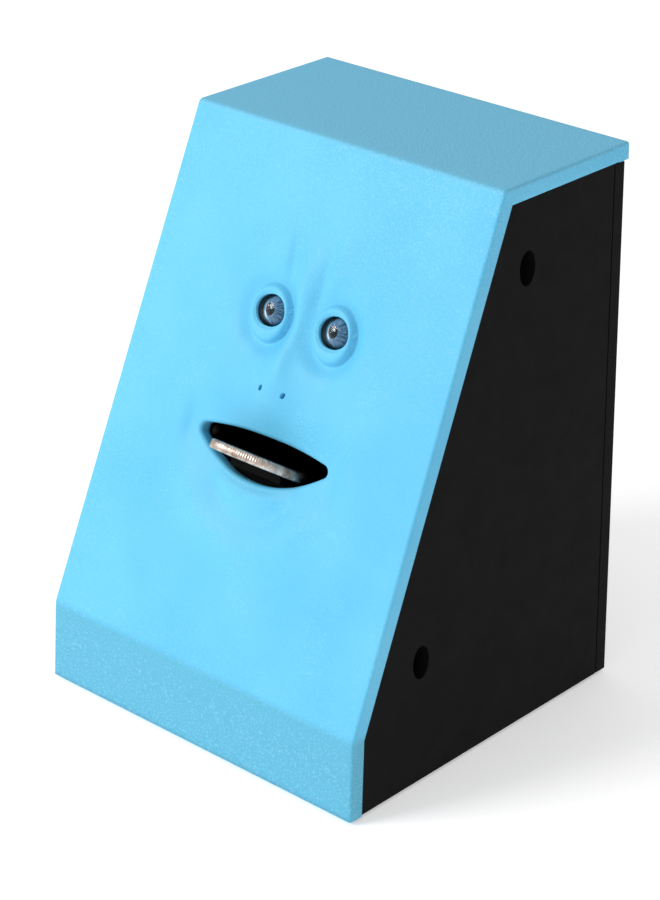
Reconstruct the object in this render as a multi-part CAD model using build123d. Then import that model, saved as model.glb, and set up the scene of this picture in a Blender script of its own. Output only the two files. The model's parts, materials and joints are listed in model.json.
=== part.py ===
"""Coin-eating money box with a sculpted face, as an assembly of separate pieces.

A black case with a slanted front carries a soft moulded face skin over a rigid front frame.  Behind the
mouth a small gearmotor turns an eccentric that rocks the jaw, which chews the coin and lets it slide into
the coin chamber.  The rear cover holds the coin door with its quarter-turn lock, the power switch and the
battery box.

Units are millimetres.  Everything is drawn with y = 0 at the front foot of the skin and z = 0 on the table,
and is moved back by half the depth when it is written, so that the origin is the centre of the footprint.
"""

from build123d import *
import math
import os

# ---------------------------------------------------------------- overall size
WIDTH_BASE = 96.0  # skin, across the table
WIDTH_TOP = 91.2  # skin, across the cap
HEIGHT = 134.2
DEPTH = 94.0
FOOT_PROUD = 0.8  # rubber feet stand this far below the case
KICK_TOP = 20.5  # top of the upright kick panel
KICK_LEAN = 0.9  # how far the kick panel leans back over that height
CAP_FRONT_Y = 49.9  # where the slanted front meets the flat cap

# ---------------------------------------------------------------- walls
SKIN = 2.0
SKIN_LIP = 4.0  # the skin wraps this far round the sides
FRAME_PLATE = 2.0
SIDE_WALL = 2.2
CASE_INSET = 0.4  # case sides stand this far inside the skin
GAP = 0.1  # between neighbouring shells
REAR_Y = 93.2  # outer face of the rear cover
REAR_COVER_DEPTH = 4.3
REAR_PLATE = 2.6
REAR_SEAM = 0.35  # open line between the case and the rear cover
REAR_EDGE_R = 0.9
CASE_REAR_Y = REAR_Y - REAR_COVER_DEPTH
CASE_TOP_Z = HEIGHT - SKIN_LIP - GAP
FLOOR_TOP_Z = 3.0  # inside of the case's bottom

# ---------------------------------------------------------------- face (v runs up the slant from the knee)
EYE_X = 9.6
EYE_SHIFT = 0.9  # the pair of eyes sits this far right of the centre plane
EYE_V = 83.0
EYE_HOLE_R = 4.9
EYE_DEPTH = 5.8  # centre of the ball below the skin's surface
EYE_BACK = -5.9  # flat back of the ball
LENS_R, BALL_R, PUPIL_R = 6.0, 5.2, 1.4
MOUTH_HALF = 19.2
MOUTH_CORNER_V = 52.8
MOUTH_TOP_V = 56.2
MOUTH_LOW_V = 44.9
LIP_WALL, LIP_DEPTH = 1.3, 3.9  # the lips turn inward as a collar
NOSTRIL_X = 3.6
NOSTRIL_V = 65.6

# ---------------------------------------------------------------- coin and jaw
COIN_R = 11.6
COIN_T = 2.3
COIN_TILT = 33.0  # degrees, inward and down
COIN_V = 49.7
COIN_W = -1.0
PIVOT_Y, PIVOT_Z = 54.0, 46.0
PIVOT_PIN_R = 1.25
JAW_TRAVEL = 5.0  # degrees
ARM_IN, ARM_OUT = 16.0, 18.5  # the jaw's side arms, from the centre plane
ARM_LENGTH, ARM_HALF = 32.6, 4.2  # pivot to lip bar, and half the arm's height
TONGUE_HALF = 7.6
CHEEK_IN, CHEEK_OUT = 19.5, 21.5  # the throat's fixed side plates
RUN = 0.05  # radial clearance of a running fit

# ---------------------------------------------------------------- gear train
ARM_TO_CRANK = 22.0
CRANK_PIN_R = 1.2
JOURNAL_R = 4.0
AXLE_R = 1.0
HUB_R = 2.2
MODULE_CRANK = 0.6
MODULE_FINE = 0.5
CRANK_TEETH, PINION_TEETH = 30, 12
IDLER_TEETH, FIRST_TEETH = 36, 38
LAYER_A = (23.6, 26.6)
LAYER_B = (27.0, 29.4)
LAYER_C = (29.8, 32.2)
BASE_PLATE_X = (21.6, 23.2)
COVER_PLATE_X = (33.2, 34.8)

# ---------------------------------------------------------------- fasteners
SCREW_R = 1.25
SCREW_HEAD_R = 2.8
SMALL_SCREW_R = 0.9
SMALL_HEAD_R = 1.8
SMALL_CLEAR_R = 1.05  # clearance hole for a small screw
SIDE_SCREWS = [(58.6, 114.1), (24.0, 31.0)]  # (y, z) on both sides
WELL_HALF_Y, WELL_HALF_Z = 2.7, 4.1  # the wells are upright ovals
WELL_DEPTH, WELL_WALL = 6.0, 1.5
WELL_SCREW_HEAD_R = 2.5
REAR_SCREWS = [(38.0, 12.0), (-38.0, 12.0), (36.0, 121.0), (-36.0, 121.0)]  # (x, z)

# ---------------------------------------------------------------- rear cover
COIN_DOOR = (-24.8, 24.8, 9.8, 44.8)  # x0, x1, z0, z1
DOOR_FACE_T = 1.8
DOOR_HINGE = (92.1, 8.0)  # y, z
KNUCKLE_R = 1.5
HINGE_PIN_R = 0.75
LOCK_Z = 37.6
BATTERY_DOOR = (-30.8, 30.8, 84.8, 119.2)
BATTERY_Z = (94.4, 109.6)
BATTERY_Y = 82.0
BATTERY_R = 7.1
BATTERY_LENGTH = 49.2
BATTERY_SCREW_Z = 123.0
BATTERY_EAR_X, BATTERY_EAR_Z = 34.4, 102.0
SWITCH_Z = 66.0
SWITCH_THROW = 4.0
SWITCH_SCREWS = [(-9.5, SWITCH_Z), (9.5, SWITCH_Z)]
EAR_SCREWS = [(-BATTERY_EAR_X, BATTERY_EAR_Z), (BATTERY_EAR_X, BATTERY_EAR_Z)]

LONG = 300.0  # longer than the object, for cuts that run right through
SLANT = math.atan2(CAP_FRONT_Y - KICK_LEAN, HEIGHT - KICK_TOP)
SIN, COS = math.sin(SLANT), math.cos(SLANT)


# ================================================================ geometry helpers
def half_width(z, inset=0.0):
    """Half the skin's width at height z, less an inset."""
    return WIDTH_BASE / 2 - inset - (WIDTH_BASE - WIDTH_TOP) / 2 * z / HEIGHT


def prism_x(points, x0, x1):
    """Solid with the (y, z) outline `points` between two x planes."""
    low, high = min(x0, x1), max(x0, x1)
    return extrude(Plane.YZ.offset(low) * Polygon(*points, align=None), high - low, dir=(1, 0, 0))


def block(x0, x1, y0, y1, z0, z1):
    """Axis-aligned block between the given limits."""
    centre = Pos((x0 + x1) / 2, (y0 + y1) / 2, (z0 + z1) / 2)
    return centre * Box(abs(x1 - x0), abs(y1 - y0), abs(z1 - z0))


def rod_x(y, z, radius, x0, x1):
    """Cylinder along x."""
    return Pos((x0 + x1) / 2, y, z) * Rot(0, 90, 0) * Cylinder(radius, abs(x1 - x0))


def rod_y(x, z, radius, y0, y1):
    """Cylinder along y."""
    return Pos(x, (y0 + y1) / 2, z) * Rot(90, 0, 0) * Cylinder(radius, abs(y1 - y0))


def rod_z(x, y, radius, z0, z1):
    """Cylinder along z."""
    return Pos(x, y, (z0 + z1) / 2) * Cylinder(radius, abs(z1 - z0))


def oval_x(y, z, grow, x0, x1):
    """Upright oval prism along x, as big as a screw well plus `grow` all round."""
    outline = Plane.YZ.offset(x0) * Pos(y, z) * Ellipse(WELL_HALF_Y + grow, WELL_HALF_Z + grow)
    return extrude(outline, x1 - x0, dir=(1, 0, 0))


def crossing(p, d, q, e):
    """Point where the line p + t d meets the line q + s e, in (y, z)."""
    t = ((q[0] - p[0]) * e[1] - (q[1] - p[1]) * e[0]) / (d[0] * e[1] - d[1] * e[0])
    return (p[0] + t * d[0], p[1] + t * d[1])


def side_outline(inset, rear_y, low_z):
    """Side view of the body, set in from the kick panel, the slant and the cap."""
    kick = math.atan2(KICK_LEAN, KICK_TOP - FOOT_PROUD)
    kick_p = (inset * math.cos(kick), FOOT_PROUD - inset * math.sin(kick))
    kick_d = (math.sin(kick), math.cos(kick))
    slant_p = (KICK_LEAN + inset * COS, KICK_TOP - inset * SIN)
    slant_d = (SIN, COS)
    top_z = HEIGHT - inset
    foot = crossing(kick_p, kick_d, (0, low_z), (1, 0))
    knee = crossing(kick_p, kick_d, slant_p, slant_d)
    brow = crossing(slant_p, slant_d, (0, top_z), (1, 0))
    return [foot, knee, brow, (rear_y, top_z), (rear_y, low_z)]


def body_prism(inset, rear_y, low_z):
    """The side outline as a solid, wider than the object."""
    return prism_x(side_outline(inset, rear_y, low_z), -LONG / 2, LONG / 2)


def taper(inset):
    """Everything between the two drafted sides, set in from the skin's sides."""
    low, high = -20.0, HEIGHT + 20.0
    points = [
        (-half_width(low, inset), low),
        (half_width(low, inset), low),
        (half_width(high, inset), high),
        (-half_width(high, inset), high),
    ]
    return extrude(Plane.XZ.offset(-LONG / 2) * Polygon(*points, align=None), LONG, dir=(0, -1, 0))


def on_slant(v, w):
    """(y, z) of the point v up the slant and w outward from the skin's surface."""
    return (KICK_LEAN + v * SIN - w * COS, KICK_TOP + v * COS + w * SIN)


def face_plane(x, v, w=0.0):
    """Plane on the slanted face: local x across, local y up the slant, local z outward."""
    y, z = on_slant(v, w)
    return Plane(origin=(x, y, z), x_dir=(1, 0, 0), z_dir=(0, -COS, SIN))


def face_rod(x, v, radius, w0, w1):
    """Cylinder square to the slanted face between two depths."""
    return extrude(face_plane(x, v, w0) * Circle(radius), w1 - w0)


def eye_x(side):
    """Where the left (-1) or right (1) eye's axis is, across the face."""
    return EYE_SHIFT + side * EYE_X


def both_sides(shape):
    """A shape together with its mirror image across the centre plane."""
    return [shape, mirror(shape, about=Plane.YZ)]


def merge(shapes):
    """One shape from a list of touching or overlapping ones."""
    result = shapes[0]
    for shape in shapes[1:]:
        result = result + shape
    return result


# ================================================================ gears
def gear_outline(teeth, module, phase):
    """Closed (y, z) outline of an involute spur gear, one tooth centred on `phase` radians."""
    pressure = math.radians(20)
    backlash = 0.11  # at the pitch circle, mm
    pitch_r = teeth * module / 2
    base_r = pitch_r * math.cos(pressure)
    tip_r = pitch_r + 0.78 * module
    root_r = pitch_r - 1.1 * module
    inv = math.tan(pressure) - pressure
    half_tooth = (math.pi * module / 2 - backlash) / 2 / pitch_r + inv
    flank = []
    steps = 3
    for i in range(steps + 1):
        radius = max(base_r, root_r) + (tip_r - max(base_r, root_r)) * i / steps
        roll = math.acos(min(1.0, base_r / radius))
        flank.append((radius, half_tooth - (math.tan(roll) - roll)))
    if root_r < base_r:
        flank.insert(0, (root_r, half_tooth))
    points = []
    for tooth in range(teeth):
        middle = phase + 2 * math.pi * tooth / teeth
        side = [(r, middle - a) for r, a in flank] + [(r, middle + a) for r, a in reversed(flank)]
        points += [(r * math.cos(a), r * math.sin(a)) for r, a in side]
    return points


def gear(centre, teeth, module, layer, phase):
    """Spur gear about an x axis through `centre`."""
    points = [(centre[0] + y, centre[1] + z) for y, z in gear_outline(teeth, module, phase)]
    return prism_x(points, layer[0], layer[1])


def step_from(centre, distance, degrees):
    """(y, z) at a distance and direction from a centre."""
    a = math.radians(degrees)
    return (centre[0] + distance * math.cos(a), centre[1] + distance * math.sin(a))


# Jaw arm directions, as angles from +y towards +z about +x.
ARM_REST = math.degrees(math.atan2(SIN, -COS))
ARM_MID = ARM_REST - JAW_TRAVEL / 2
CRANK_THROW = ARM_TO_CRANK * math.sin(math.radians(JAW_TRAVEL / 2))
PIVOT = (PIVOT_Y, PIVOT_Z)
CRANK_AXIS = step_from(PIVOT, ARM_TO_CRANK * math.cos(math.radians(JAW_TRAVEL / 2)), ARM_MID)
CRANK_PIN = step_from(CRANK_AXIS, CRANK_THROW, ARM_MID + 90)  # lowest point: jaw open
TO_IDLER, TO_FIRST, TO_MOTOR = 75.0, 10.0, -35.0  # directions down the gear train
IDLER_AXIS = step_from(CRANK_AXIS, (CRANK_TEETH + PINION_TEETH) * MODULE_CRANK / 2, TO_IDLER)
FIRST_AXIS = step_from(IDLER_AXIS, (IDLER_TEETH + PINION_TEETH) * MODULE_FINE / 2, TO_FIRST)
MOTOR_AXIS = step_from(FIRST_AXIS, (FIRST_TEETH + PINION_TEETH) * MODULE_FINE / 2, TO_MOTOR)
MOTOR_SCREWS = [step_from(MOTOR_AXIS, 6.0, angle) for angle in (30, 210)]
GEARBOX_POSTS = [(47.0, 52.5), (38.5, 80.5), (61.5, 76.5)]
GEARBOX_SCREWS = [(31.4, 70.8), (44.8, 48.2)]


def mesh_phase(direction, teeth):
    """Phase that puts a tooth gap where the other gear has a tooth."""
    return math.radians(direction + 180) + math.pi / teeth


# ================================================================ skin and frame
def mouth_prism(grow, w0, w1):
    """The mouth's outline, shallow above and deep below, as a solid between two depths."""
    half = MOUTH_HALF + grow
    left, right = (-half, MOUTH_CORNER_V), (half, MOUTH_CORNER_V)
    upper = ThreePointArc(left, (0, MOUTH_TOP_V + grow), right)
    lower = ThreePointArc(right, (0, MOUTH_LOW_V - grow), left)
    outline = fillet(make_face([upper, lower]).vertices(), 1.5)
    return extrude(face_plane(0, 0, w0) * outline, w1 - w0, dir=(0, -COS, SIN))


def face_skin():
    """Soft moulded sheet over the kick panel, the slant and the cap, with lips round the sides."""
    outside = body_prism(0, DEPTH, FOOT_PROUD) & taper(0)
    hollow = body_prism(SKIN, DEPTH - 0.8, -10) & taper(SKIN)
    skin = outside - hollow - body_prism(SKIN_LIP, DEPTH + 10, -10)
    nose_y, nose_z = on_slant(70, -1.2)
    nose = Pos(0, nose_y, nose_z) * Rot(math.degrees(-SLANT), 0, 0) * scale(Sphere(1), by=(6.5, 4.0, 16))
    skin = skin + (nose - body_prism(SKIN, DEPTH, -10))
    for side in (-1, 1):
        lid = face_plane(eye_x(side), EYE_V, -0.6) * Torus(5.6, 1.3)
        skin = skin + (lid - body_prism(SKIN, DEPTH, -10))
        skin = skin - face_rod(eye_x(side), EYE_V, EYE_HOLE_R, -8, 6)
        skin = skin - face_rod(side * NOSTRIL_X, NOSTRIL_V, 0.5, -1.5, 6)
    skin = skin + mouth_prism(LIP_WALL, -LIP_DEPTH, -SKIN / 2)
    return skin - mouth_prism(0, -8, 8)


def front_frame():
    """Rigid plate under the skin, with a locating flange, screw bosses and the eye and mouth openings."""
    under = SKIN + GAP
    inner = SKIN + FRAME_PLATE
    plate = body_prism(under, REAR_Y - 1.2, FOOT_PROUD + GAP) & taper(under)
    plate = plate - body_prism(inner, LONG, -10)
    flange = body_prism(inner, REAR_Y - 6.2, FLOOR_TOP_Z + 0.2) - body_prism(inner + 6, LONG, -10)
    flange = flange & taper(2.8)
    frame = plate + (flange - taper(4.4))
    rib_zone = body_prism(inner, LONG, -10) - body_prism(inner + 20, LONG, -10)
    for y, z in SIDE_SCREWS:
        v = (y - KICK_LEAN) * SIN + (z - KICK_TOP) * COS
        near = extrude(face_plane(0, v) * Rectangle(LONG, 18), -60) & block(-60, 60, 0, 80, 4, 129.5)
        slot = taper(WELL_DEPTH + 2.3) - taper(WELL_DEPTH + 4.1)
        frame = frame + (rib_zone & near & slot)
        x0 = half_width(z, WELL_DEPTH + 2.3)
        frame = frame + merge(both_sides(rod_x(y, z, 3.6, x0 - 11, x0)))
        frame = frame - merge(both_sides(rod_x(y, z, SCREW_R, x0 - 10, x0 + 1)))
    for side in (-1, 1):
        frame = frame - face_rod(eye_x(side), EYE_V, 7.0, -6, 1)
        for v in THROAT_SCREW_V:
            boss = face_rod(side * THROAT_SCREW_X, v, 2.6, -9, -inner)
            frame = frame + boss - face_rod(side * THROAT_SCREW_X, v, SMALL_SCREW_R, -9.1, -4.5)
    mouth = face_plane(0, 50.6) * RectangleRounded(45, 18, 5)
    return frame - extrude(mouth, 10, both=True)


THROAT_SCREW_X = 12.0
THROAT_SCREW_V = (64.5, 34.5)


# ================================================================ eyes
def eye_parts(side):
    """Clear lens over a ball with an iris and a pupil, in a cup behind the skin."""
    x = eye_x(side)
    ball = face_plane(x, EYE_V, -EYE_DEPTH)
    front = extrude(face_plane(x, EYE_V, EYE_BACK) * Circle(LENS_R + 1), 10)
    lens = (ball * Sphere(LENS_R) - ball * Sphere(BALL_R + 0.05)) & front
    pupil_rod = face_rod(x, EYE_V, PUPIL_R, -3.0, 1.0)
    iris = ((ball * Sphere(BALL_R)) & front) - pupil_rod
    pupil = (ball * Sphere(BALL_R)) & pupil_rod
    flange_w = (EYE_BACK + 0.6, -SKIN - GAP - FRAME_PLATE)
    cup = face_rod(x, EYE_V, LENS_R + 0.9, EYE_BACK - 1.4, -SKIN - 0.4)
    cup = cup + face_rod(x, EYE_V, LENS_R + 2.6, *flange_w)
    cup = cup - face_rod(x, EYE_V, LENS_R + RUN, EYE_BACK, 0)
    return {"lens": lens, "iris": iris, "pupil": pupil, "holder": cup}


# ================================================================ case
def case_shell():
    """Two drafted side walls and a bottom, with recessed wells for the side screws and rear screw posts."""
    solid = body_prism(SKIN_LIP + GAP, CASE_REAR_Y, FOOT_PROUD) & taper(CASE_INSET)
    inside = taper(CASE_INSET + SIDE_WALL) & block(-60, 60, -50, 200, FLOOR_TOP_Z, 200)
    shell = solid - inside
    for y, z in SIDE_SCREWS:
        outer = half_width(z, CASE_INSET)
        bottom = half_width(z, WELL_DEPTH + 2.0)
        well = oval_x(y, z, WELL_WALL, bottom, outer - 0.2) & taper(CASE_INSET)
        shell = shell + merge(both_sides(well))
        shell = shell - merge(both_sides(oval_x(y, z, 0, bottom + 1.6, outer + 2)))
        shell = shell - merge(both_sides(rod_x(y, z, 1.6, bottom - 1, outer)))
    for x, z in REAR_SCREWS:
        side = math.copysign(1, x)
        wall = side * half_width(z, CASE_INSET + 1)
        shell = shell + rod_y(x, z, 3.5, 74, CASE_REAR_Y) + block(x, wall, 76, CASE_REAR_Y, z - 1, z + 1)
        shell = shell - rod_y(x, z, SCREW_R, 75, CASE_REAR_Y + 1)
    for x, y in FEET:
        shell = shell - rod_z(x, y, 5.1, 0, 1.6)
    return shell


FEET = [(36.0, 14.5), (-36.0, 14.5), (36.0, 79.5), (-36.0, 79.5)]


def rubber_foot(x, y):
    """Domed-edge rubber pad, set in a recess of the bottom."""
    pad = rod_z(x, y, 5.0, 0, 1.58)
    return fillet(pad.edges().sort_by(Axis.Z)[0], 0.3)


# ================================================================ rear cover
def rear_cover():
    """Shallow tray that closes the back, with the two door openings and the switch slot."""
    front_y = CASE_REAR_Y + REAR_SEAM
    tray = block(-60, 60, front_y, REAR_Y, FOOT_PROUD, CASE_TOP_Z - 0.3) & taper(CASE_INSET)
    rear_edges = tray.faces().sort_by(Axis.Y)[-1].edges()
    tray = fillet(rear_edges, REAR_EDGE_R)
    plate_y = REAR_Y - REAR_PLATE
    hollow = block(-60, 60, 80, plate_y, FLOOR_TOP_Z, 127.6) & taper(CASE_INSET + SIDE_WALL)
    tray = tray - hollow
    lip = (block(-60, 60, 87.3, plate_y, 3.2, 127.4) & taper(2.8)) - taper(4.2)
    lip = lip - block(-60, 60, 80, 92, 8, 16) - block(-60, 60, 80, 92, 117, 125)
    tray = tray + lip
    for x, z in REAR_SCREWS:
        tray = tray + rod_y(x, z, 3.4, CASE_REAR_Y + 0.02, plate_y)
        tray = tray - rod_y(x, z, 1.5, 80, 100) - rod_y(x, z, 3.0, REAR_Y - 1.5, REAR_Y + 1)
    return switch_slot(battery_opening(coin_opening(tray)))


def door_ledge(limits, plate_y):
    """Frame behind a door opening that the door rests on."""
    x0, x1, z0, z1 = limits
    return block(x0 - 1.6, x1 + 1.6, plate_y - 1.2, plate_y + 0.6, z0, z1 + 1.6)


def coin_opening(tray):
    """Opening, ledge and hinge seats of the coin door."""
    x0, x1, z0, z1 = COIN_DOOR
    plate_y = REAR_Y - REAR_PLATE
    tray = tray + door_ledge(COIN_DOOR, plate_y)
    tray = tray - block(x0 - 0.2, x1 + 0.2, REAR_Y - DOOR_FACE_T - 0.1, 100, z0 - 0.5, z1 + 0.2)
    tray = tray - block(x0 + 2, x1 - 2, 80, 100, z0 - 0.5, z1 - 2)
    y, z = DOOR_HINGE
    tray = tray + rod_x(y, z, KNUCKLE_R, x0, x1) + block(x0, x1, plate_y - 1.2, y, z - 2, z)
    tray = tray - rod_x(y, z, HINGE_PIN_R, x0 - 1, x1 + 1)
    for k0, k1 in DOOR_KNUCKLES:
        tray = tray - rod_x(y, z, KNUCKLE_R + 0.3, k0 - 0.3, k1 + 0.3)
        tray = tray - block(k0 - 0.3, k1 + 0.3, y - KNUCKLE_R - 0.3, 100, z, z + 5)
    return tray


DOOR_KNUCKLES = [(-21.0, -13.0), (13.0, 21.0)]


def battery_opening(tray):
    """Opening and ledge of the battery door, with the boss for its screw."""
    x0, x1, z0, z1 = BATTERY_DOOR
    plate_y = REAR_Y - REAR_PLATE
    tray = tray + door_ledge((x0, x1, z0 - 1.6, z1), plate_y)
    tray = tray + rod_y(0, BATTERY_SCREW_Z, 3.2, 84, plate_y + 0.5)
    for x in (-BATTERY_EAR_X, BATTERY_EAR_X):
        tray = tray + rod_y(x, BATTERY_EAR_Z, 2.4, 89.22, plate_y + 0.5)
    tray = tray - battery_door_outline(0.2, REAR_Y - DOOR_FACE_T - 0.1, 100)
    tray = tray - block(x0 + 2, x1 - 2, 80, 100, z0 + 2, z1 - 2)
    for x in (-BATTERY_EAR_X, BATTERY_EAR_X):
        tray = tray - rod_y(x, BATTERY_EAR_Z, SMALL_SCREW_R, 89, REAR_Y - 0.9)
    return tray - rod_y(0, BATTERY_SCREW_Z, SCREW_R, 85, 100)


def battery_door_outline(grow, y0, y1):
    """Battery door blank with its screw tab, grown by a clearance."""
    x0, x1, z0, z1 = BATTERY_DOOR
    panel = block(x0 - grow, x1 + grow, y0, y1, z0 - grow, z1 + grow)
    return panel + block(-5 - grow, 5 + grow, y0, y1, z1 - 1, BATTERY_SCREW_Z + 4 + grow)


def battery_door():
    """Flat door with a screw tab at the top and six pull ribs."""
    door = battery_door_outline(0, REAR_Y - DOOR_FACE_T, REAR_Y)
    for i in range(6):
        z = BATTERY_DOOR[2] + 3.5 + 1.6 * i
        door = door - block(-9, 9, REAR_Y - 0.4, 100, z, z + 0.8)
    hole = rod_y(0, BATTERY_SCREW_Z, 1.5, 80, 100) + rod_y(0, BATTERY_SCREW_Z, 2.4, REAR_Y - 1.1, 100)
    return door - hole


def switch_slot(tray):
    """Slot for the switch knob, with screw holes for the switch."""
    tray = tray - block(-4.6, 4.6, 80, 100, SWITCH_Z - 1.9, SWITCH_Z + 1.9)
    tray = tray - block(-7, 7, REAR_Y - 0.8, 100, SWITCH_Z - 3.2, SWITCH_Z + 3.2)
    for x, z in SWITCH_SCREWS:
        tray = tray - rod_y(x, z, SMALL_SCREW_R, 89, REAR_Y - 0.6)
    return tray


def coin_door():
    """Bottom-hinged door with two knuckles and a boss that holds the lock."""
    x0, x1, z0, z1 = COIN_DOOR
    y, z = DOOR_HINGE
    inner_y = REAR_Y - DOOR_FACE_T
    door = block(x0, x1, inner_y, REAR_Y, z0, z1)
    door = fillet(door.edges().filter_by(Axis.Y), 1.0)
    for k0, k1 in DOOR_KNUCKLES:
        arm = block(k0, k1, y - 0.9, y + 0.9, z, z0 + 0.5)
        door = door + rod_x(y, z, KNUCKLE_R, k0, k1) + arm
        door = door - rod_x(y, z, HINGE_PIN_R + RUN, k0 - 1, k1 + 1)
    door = door + rod_y(0, LOCK_Z, 4.6, 89.6, inner_y + 0.3)
    rib = block(x0 + 3, x1 - 3, inner_y - 1.2, inner_y + 0.2, z0 + 6, z0 + 7.4)
    door = door + rib
    door = door - rod_y(0, LOCK_Z, 5.6, REAR_Y - 1.1, REAR_Y + 1)
    return door - rod_y(0, LOCK_Z, 2.5 + RUN, 80, 100)


def door_lock():
    """Quarter-turn lock: slotted disc, shaft and tongue, shown unlocked with the tongue level."""
    disc = rod_y(0, LOCK_Z, 5.5, REAR_Y - 1.05, REAR_Y)
    lock = disc + rod_y(0, LOCK_Z, 2.5, 87.6, REAR_Y - 1)
    lock = lock + block(0, 9.8, 87.6, 89.1, LOCK_Z - 2, LOCK_Z + 2) + rod_y(0, LOCK_Z, 3.2, 87.6, 89.1)
    slot = block(-4.4, 4.4, REAR_Y - 0.6, REAR_Y + 1, LOCK_Z - 0.9, LOCK_Z + 0.9)
    return lock - slot


# ================================================================ battery box
def battery_box():
    """Open tray for two cells, fixed behind the battery door opening."""
    tray = block(-30.2, 30.2, 73.0, 89.2, 85.2, 118.8)
    tray = tray - block(-28.6, 28.6, 74.5, 95, 86.8, 117.2)
    divider = block(-26, 26, 74.5, 79, 101.8, 102.2)
    for side in (-1, 1):
        tray = tray + block(side * 30, side * (BATTERY_EAR_X + 2.7), 87.6, 89.2, 99, 105)
        tray = tray - rod_y(side * BATTERY_EAR_X, BATTERY_EAR_Z, SMALL_CLEAR_R, 80, 95)
    return tray + divider


def battery_cell(z, side):
    """AA cell lying across, with its positive cap towards `side`."""
    can = rod_x(BATTERY_Y, z, BATTERY_R, -BATTERY_LENGTH / 2, BATTERY_LENGTH / 2)
    cap_x = side * BATTERY_LENGTH / 2
    return can + rod_x(BATTERY_Y, z, 2.7, cap_x, cap_x + side * 1.3)


def battery_spring(z, side):
    """Conical coil spring that bears on a cell's flat end."""
    length = 2.8
    helix = Helix(pitch=length / 3, height=length, radius=2.4, cone_angle=20)
    path = Pos(side * (BATTERY_LENGTH / 2 + 0.32), BATTERY_Y, z) * Rot(0, side * 90, 0) * helix
    wire = sweep((path ^ 0) * Circle(0.3), path)
    return wire


def battery_contacts():
    """Sheet-metal contact plates: one bridge on the right, two plates on the left."""
    low, high = BATTERY_Z
    bridge = block(28.1, 28.5, 77, 87, low - 4.5, high + 4.5)
    plates = [block(-28.5, -28.1, 77, 87, z - 4.5, z + 4.5) for z in (low, high)]
    return Compound(children=[bridge] + plates)


# ================================================================ mouth mechanism
def coin_direction():
    """Unit vector down the coin's plane, inward, in (y, z)."""
    a = math.radians(COIN_TILT)
    return (math.cos(a), -math.sin(a))


def along_coin(t, rise):
    """(y, z) at t mm inward from the coin's centre and `rise` mm above its middle plane."""
    y, z = on_slant(COIN_V, COIN_W)
    d = coin_direction()
    return (y + t * d[0] - rise * d[1], z + t * d[1] + rise * d[0])


def coin():
    """Plain token with a raised rim on both faces."""
    y, z = on_slant(COIN_V, COIN_W)
    place = Pos(0, y, z) * Rot(-COIN_TILT, 0, 0)
    disc = Cylinder(COIN_R, COIN_T)
    disc = fillet(disc.edges(), 0.25)
    pocket = Cylinder(COIN_R - 1.4, 0.25)
    disc = disc - Pos(0, 0, COIN_T / 2) * pocket - Pos(0, 0, -COIN_T / 2) * pocket
    return place * disc


def jaw():
    """Tray for the coin with a tongue, a lip bar and two arms that run back to the pivot."""
    top, under = -(COIN_T / 2 + 0.12), -(COIN_T / 2 + 1.9)
    tray = prism_x(
        [along_coin(5.2, top), along_coin(23, top), along_coin(23, under), along_coin(5.2, under)],
        -ARM_IN - 0.5, ARM_IN + 0.5,
    )
    tongue = prism_x(
        [along_coin(-0.2, top), along_coin(8, top), along_coin(8, under), along_coin(0.6, under)],
        -TONGUE_HALF, TONGUE_HALF,
    )
    bar = prism_x(
        [on_slant(46.5, -5.2), on_slant(46.5, -8.4), on_slant(41.5, -8.4), on_slant(41.5, -5.2)],
        -ARM_OUT, ARM_OUT,
    )
    web = prism_x(
        [on_slant(47.2, -5.2), along_coin(9, under), on_slant(43, -8.4), on_slant(43, -5.2)],
        -TONGUE_HALF - 0.4, TONGUE_HALF + 0.4,
    )
    start = step_from(PIVOT, ARM_LENGTH, ARM_REST)
    a = math.radians(ARM_REST + 90)
    up = (-math.cos(a) * ARM_HALF, -math.sin(a) * ARM_HALF)
    arm_outline = [
        (PIVOT_Y - up[0], PIVOT_Z - up[1]),
        (start[0] - up[0], start[1] - up[1]),
        (start[0] + up[0], start[1] + up[1]),
        (PIVOT_Y + up[0], PIVOT_Z + up[1]),
    ]
    arm = prism_x(arm_outline, ARM_IN, ARM_OUT) + rod_x(PIVOT_Y, PIVOT_Z, ARM_HALF, ARM_IN, ARM_OUT)
    body = merge([tray, tongue, bar, web] + both_sides(arm))
    for side in (-1, 1):
        body = body - rod_x(PIVOT_Y, PIVOT_Z, PIVOT_PIN_R + RUN, side * (ARM_IN - 1), side * (ARM_OUT + 1))
    slot_y, slot_z = step_from(PIVOT, ARM_TO_CRANK, ARM_REST)
    slot_plane = Plane(origin=(ARM_IN - 1, slot_y, slot_z), x_dir=(0, -COS, SIN), z_dir=(1, 0, 0))
    slot = SlotOverall(2 * (CRANK_THROW + CRANK_PIN_R) + 1.2, 2 * CRANK_PIN_R + 0.9)
    return body - extrude(slot_plane * slot, 5)


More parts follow.
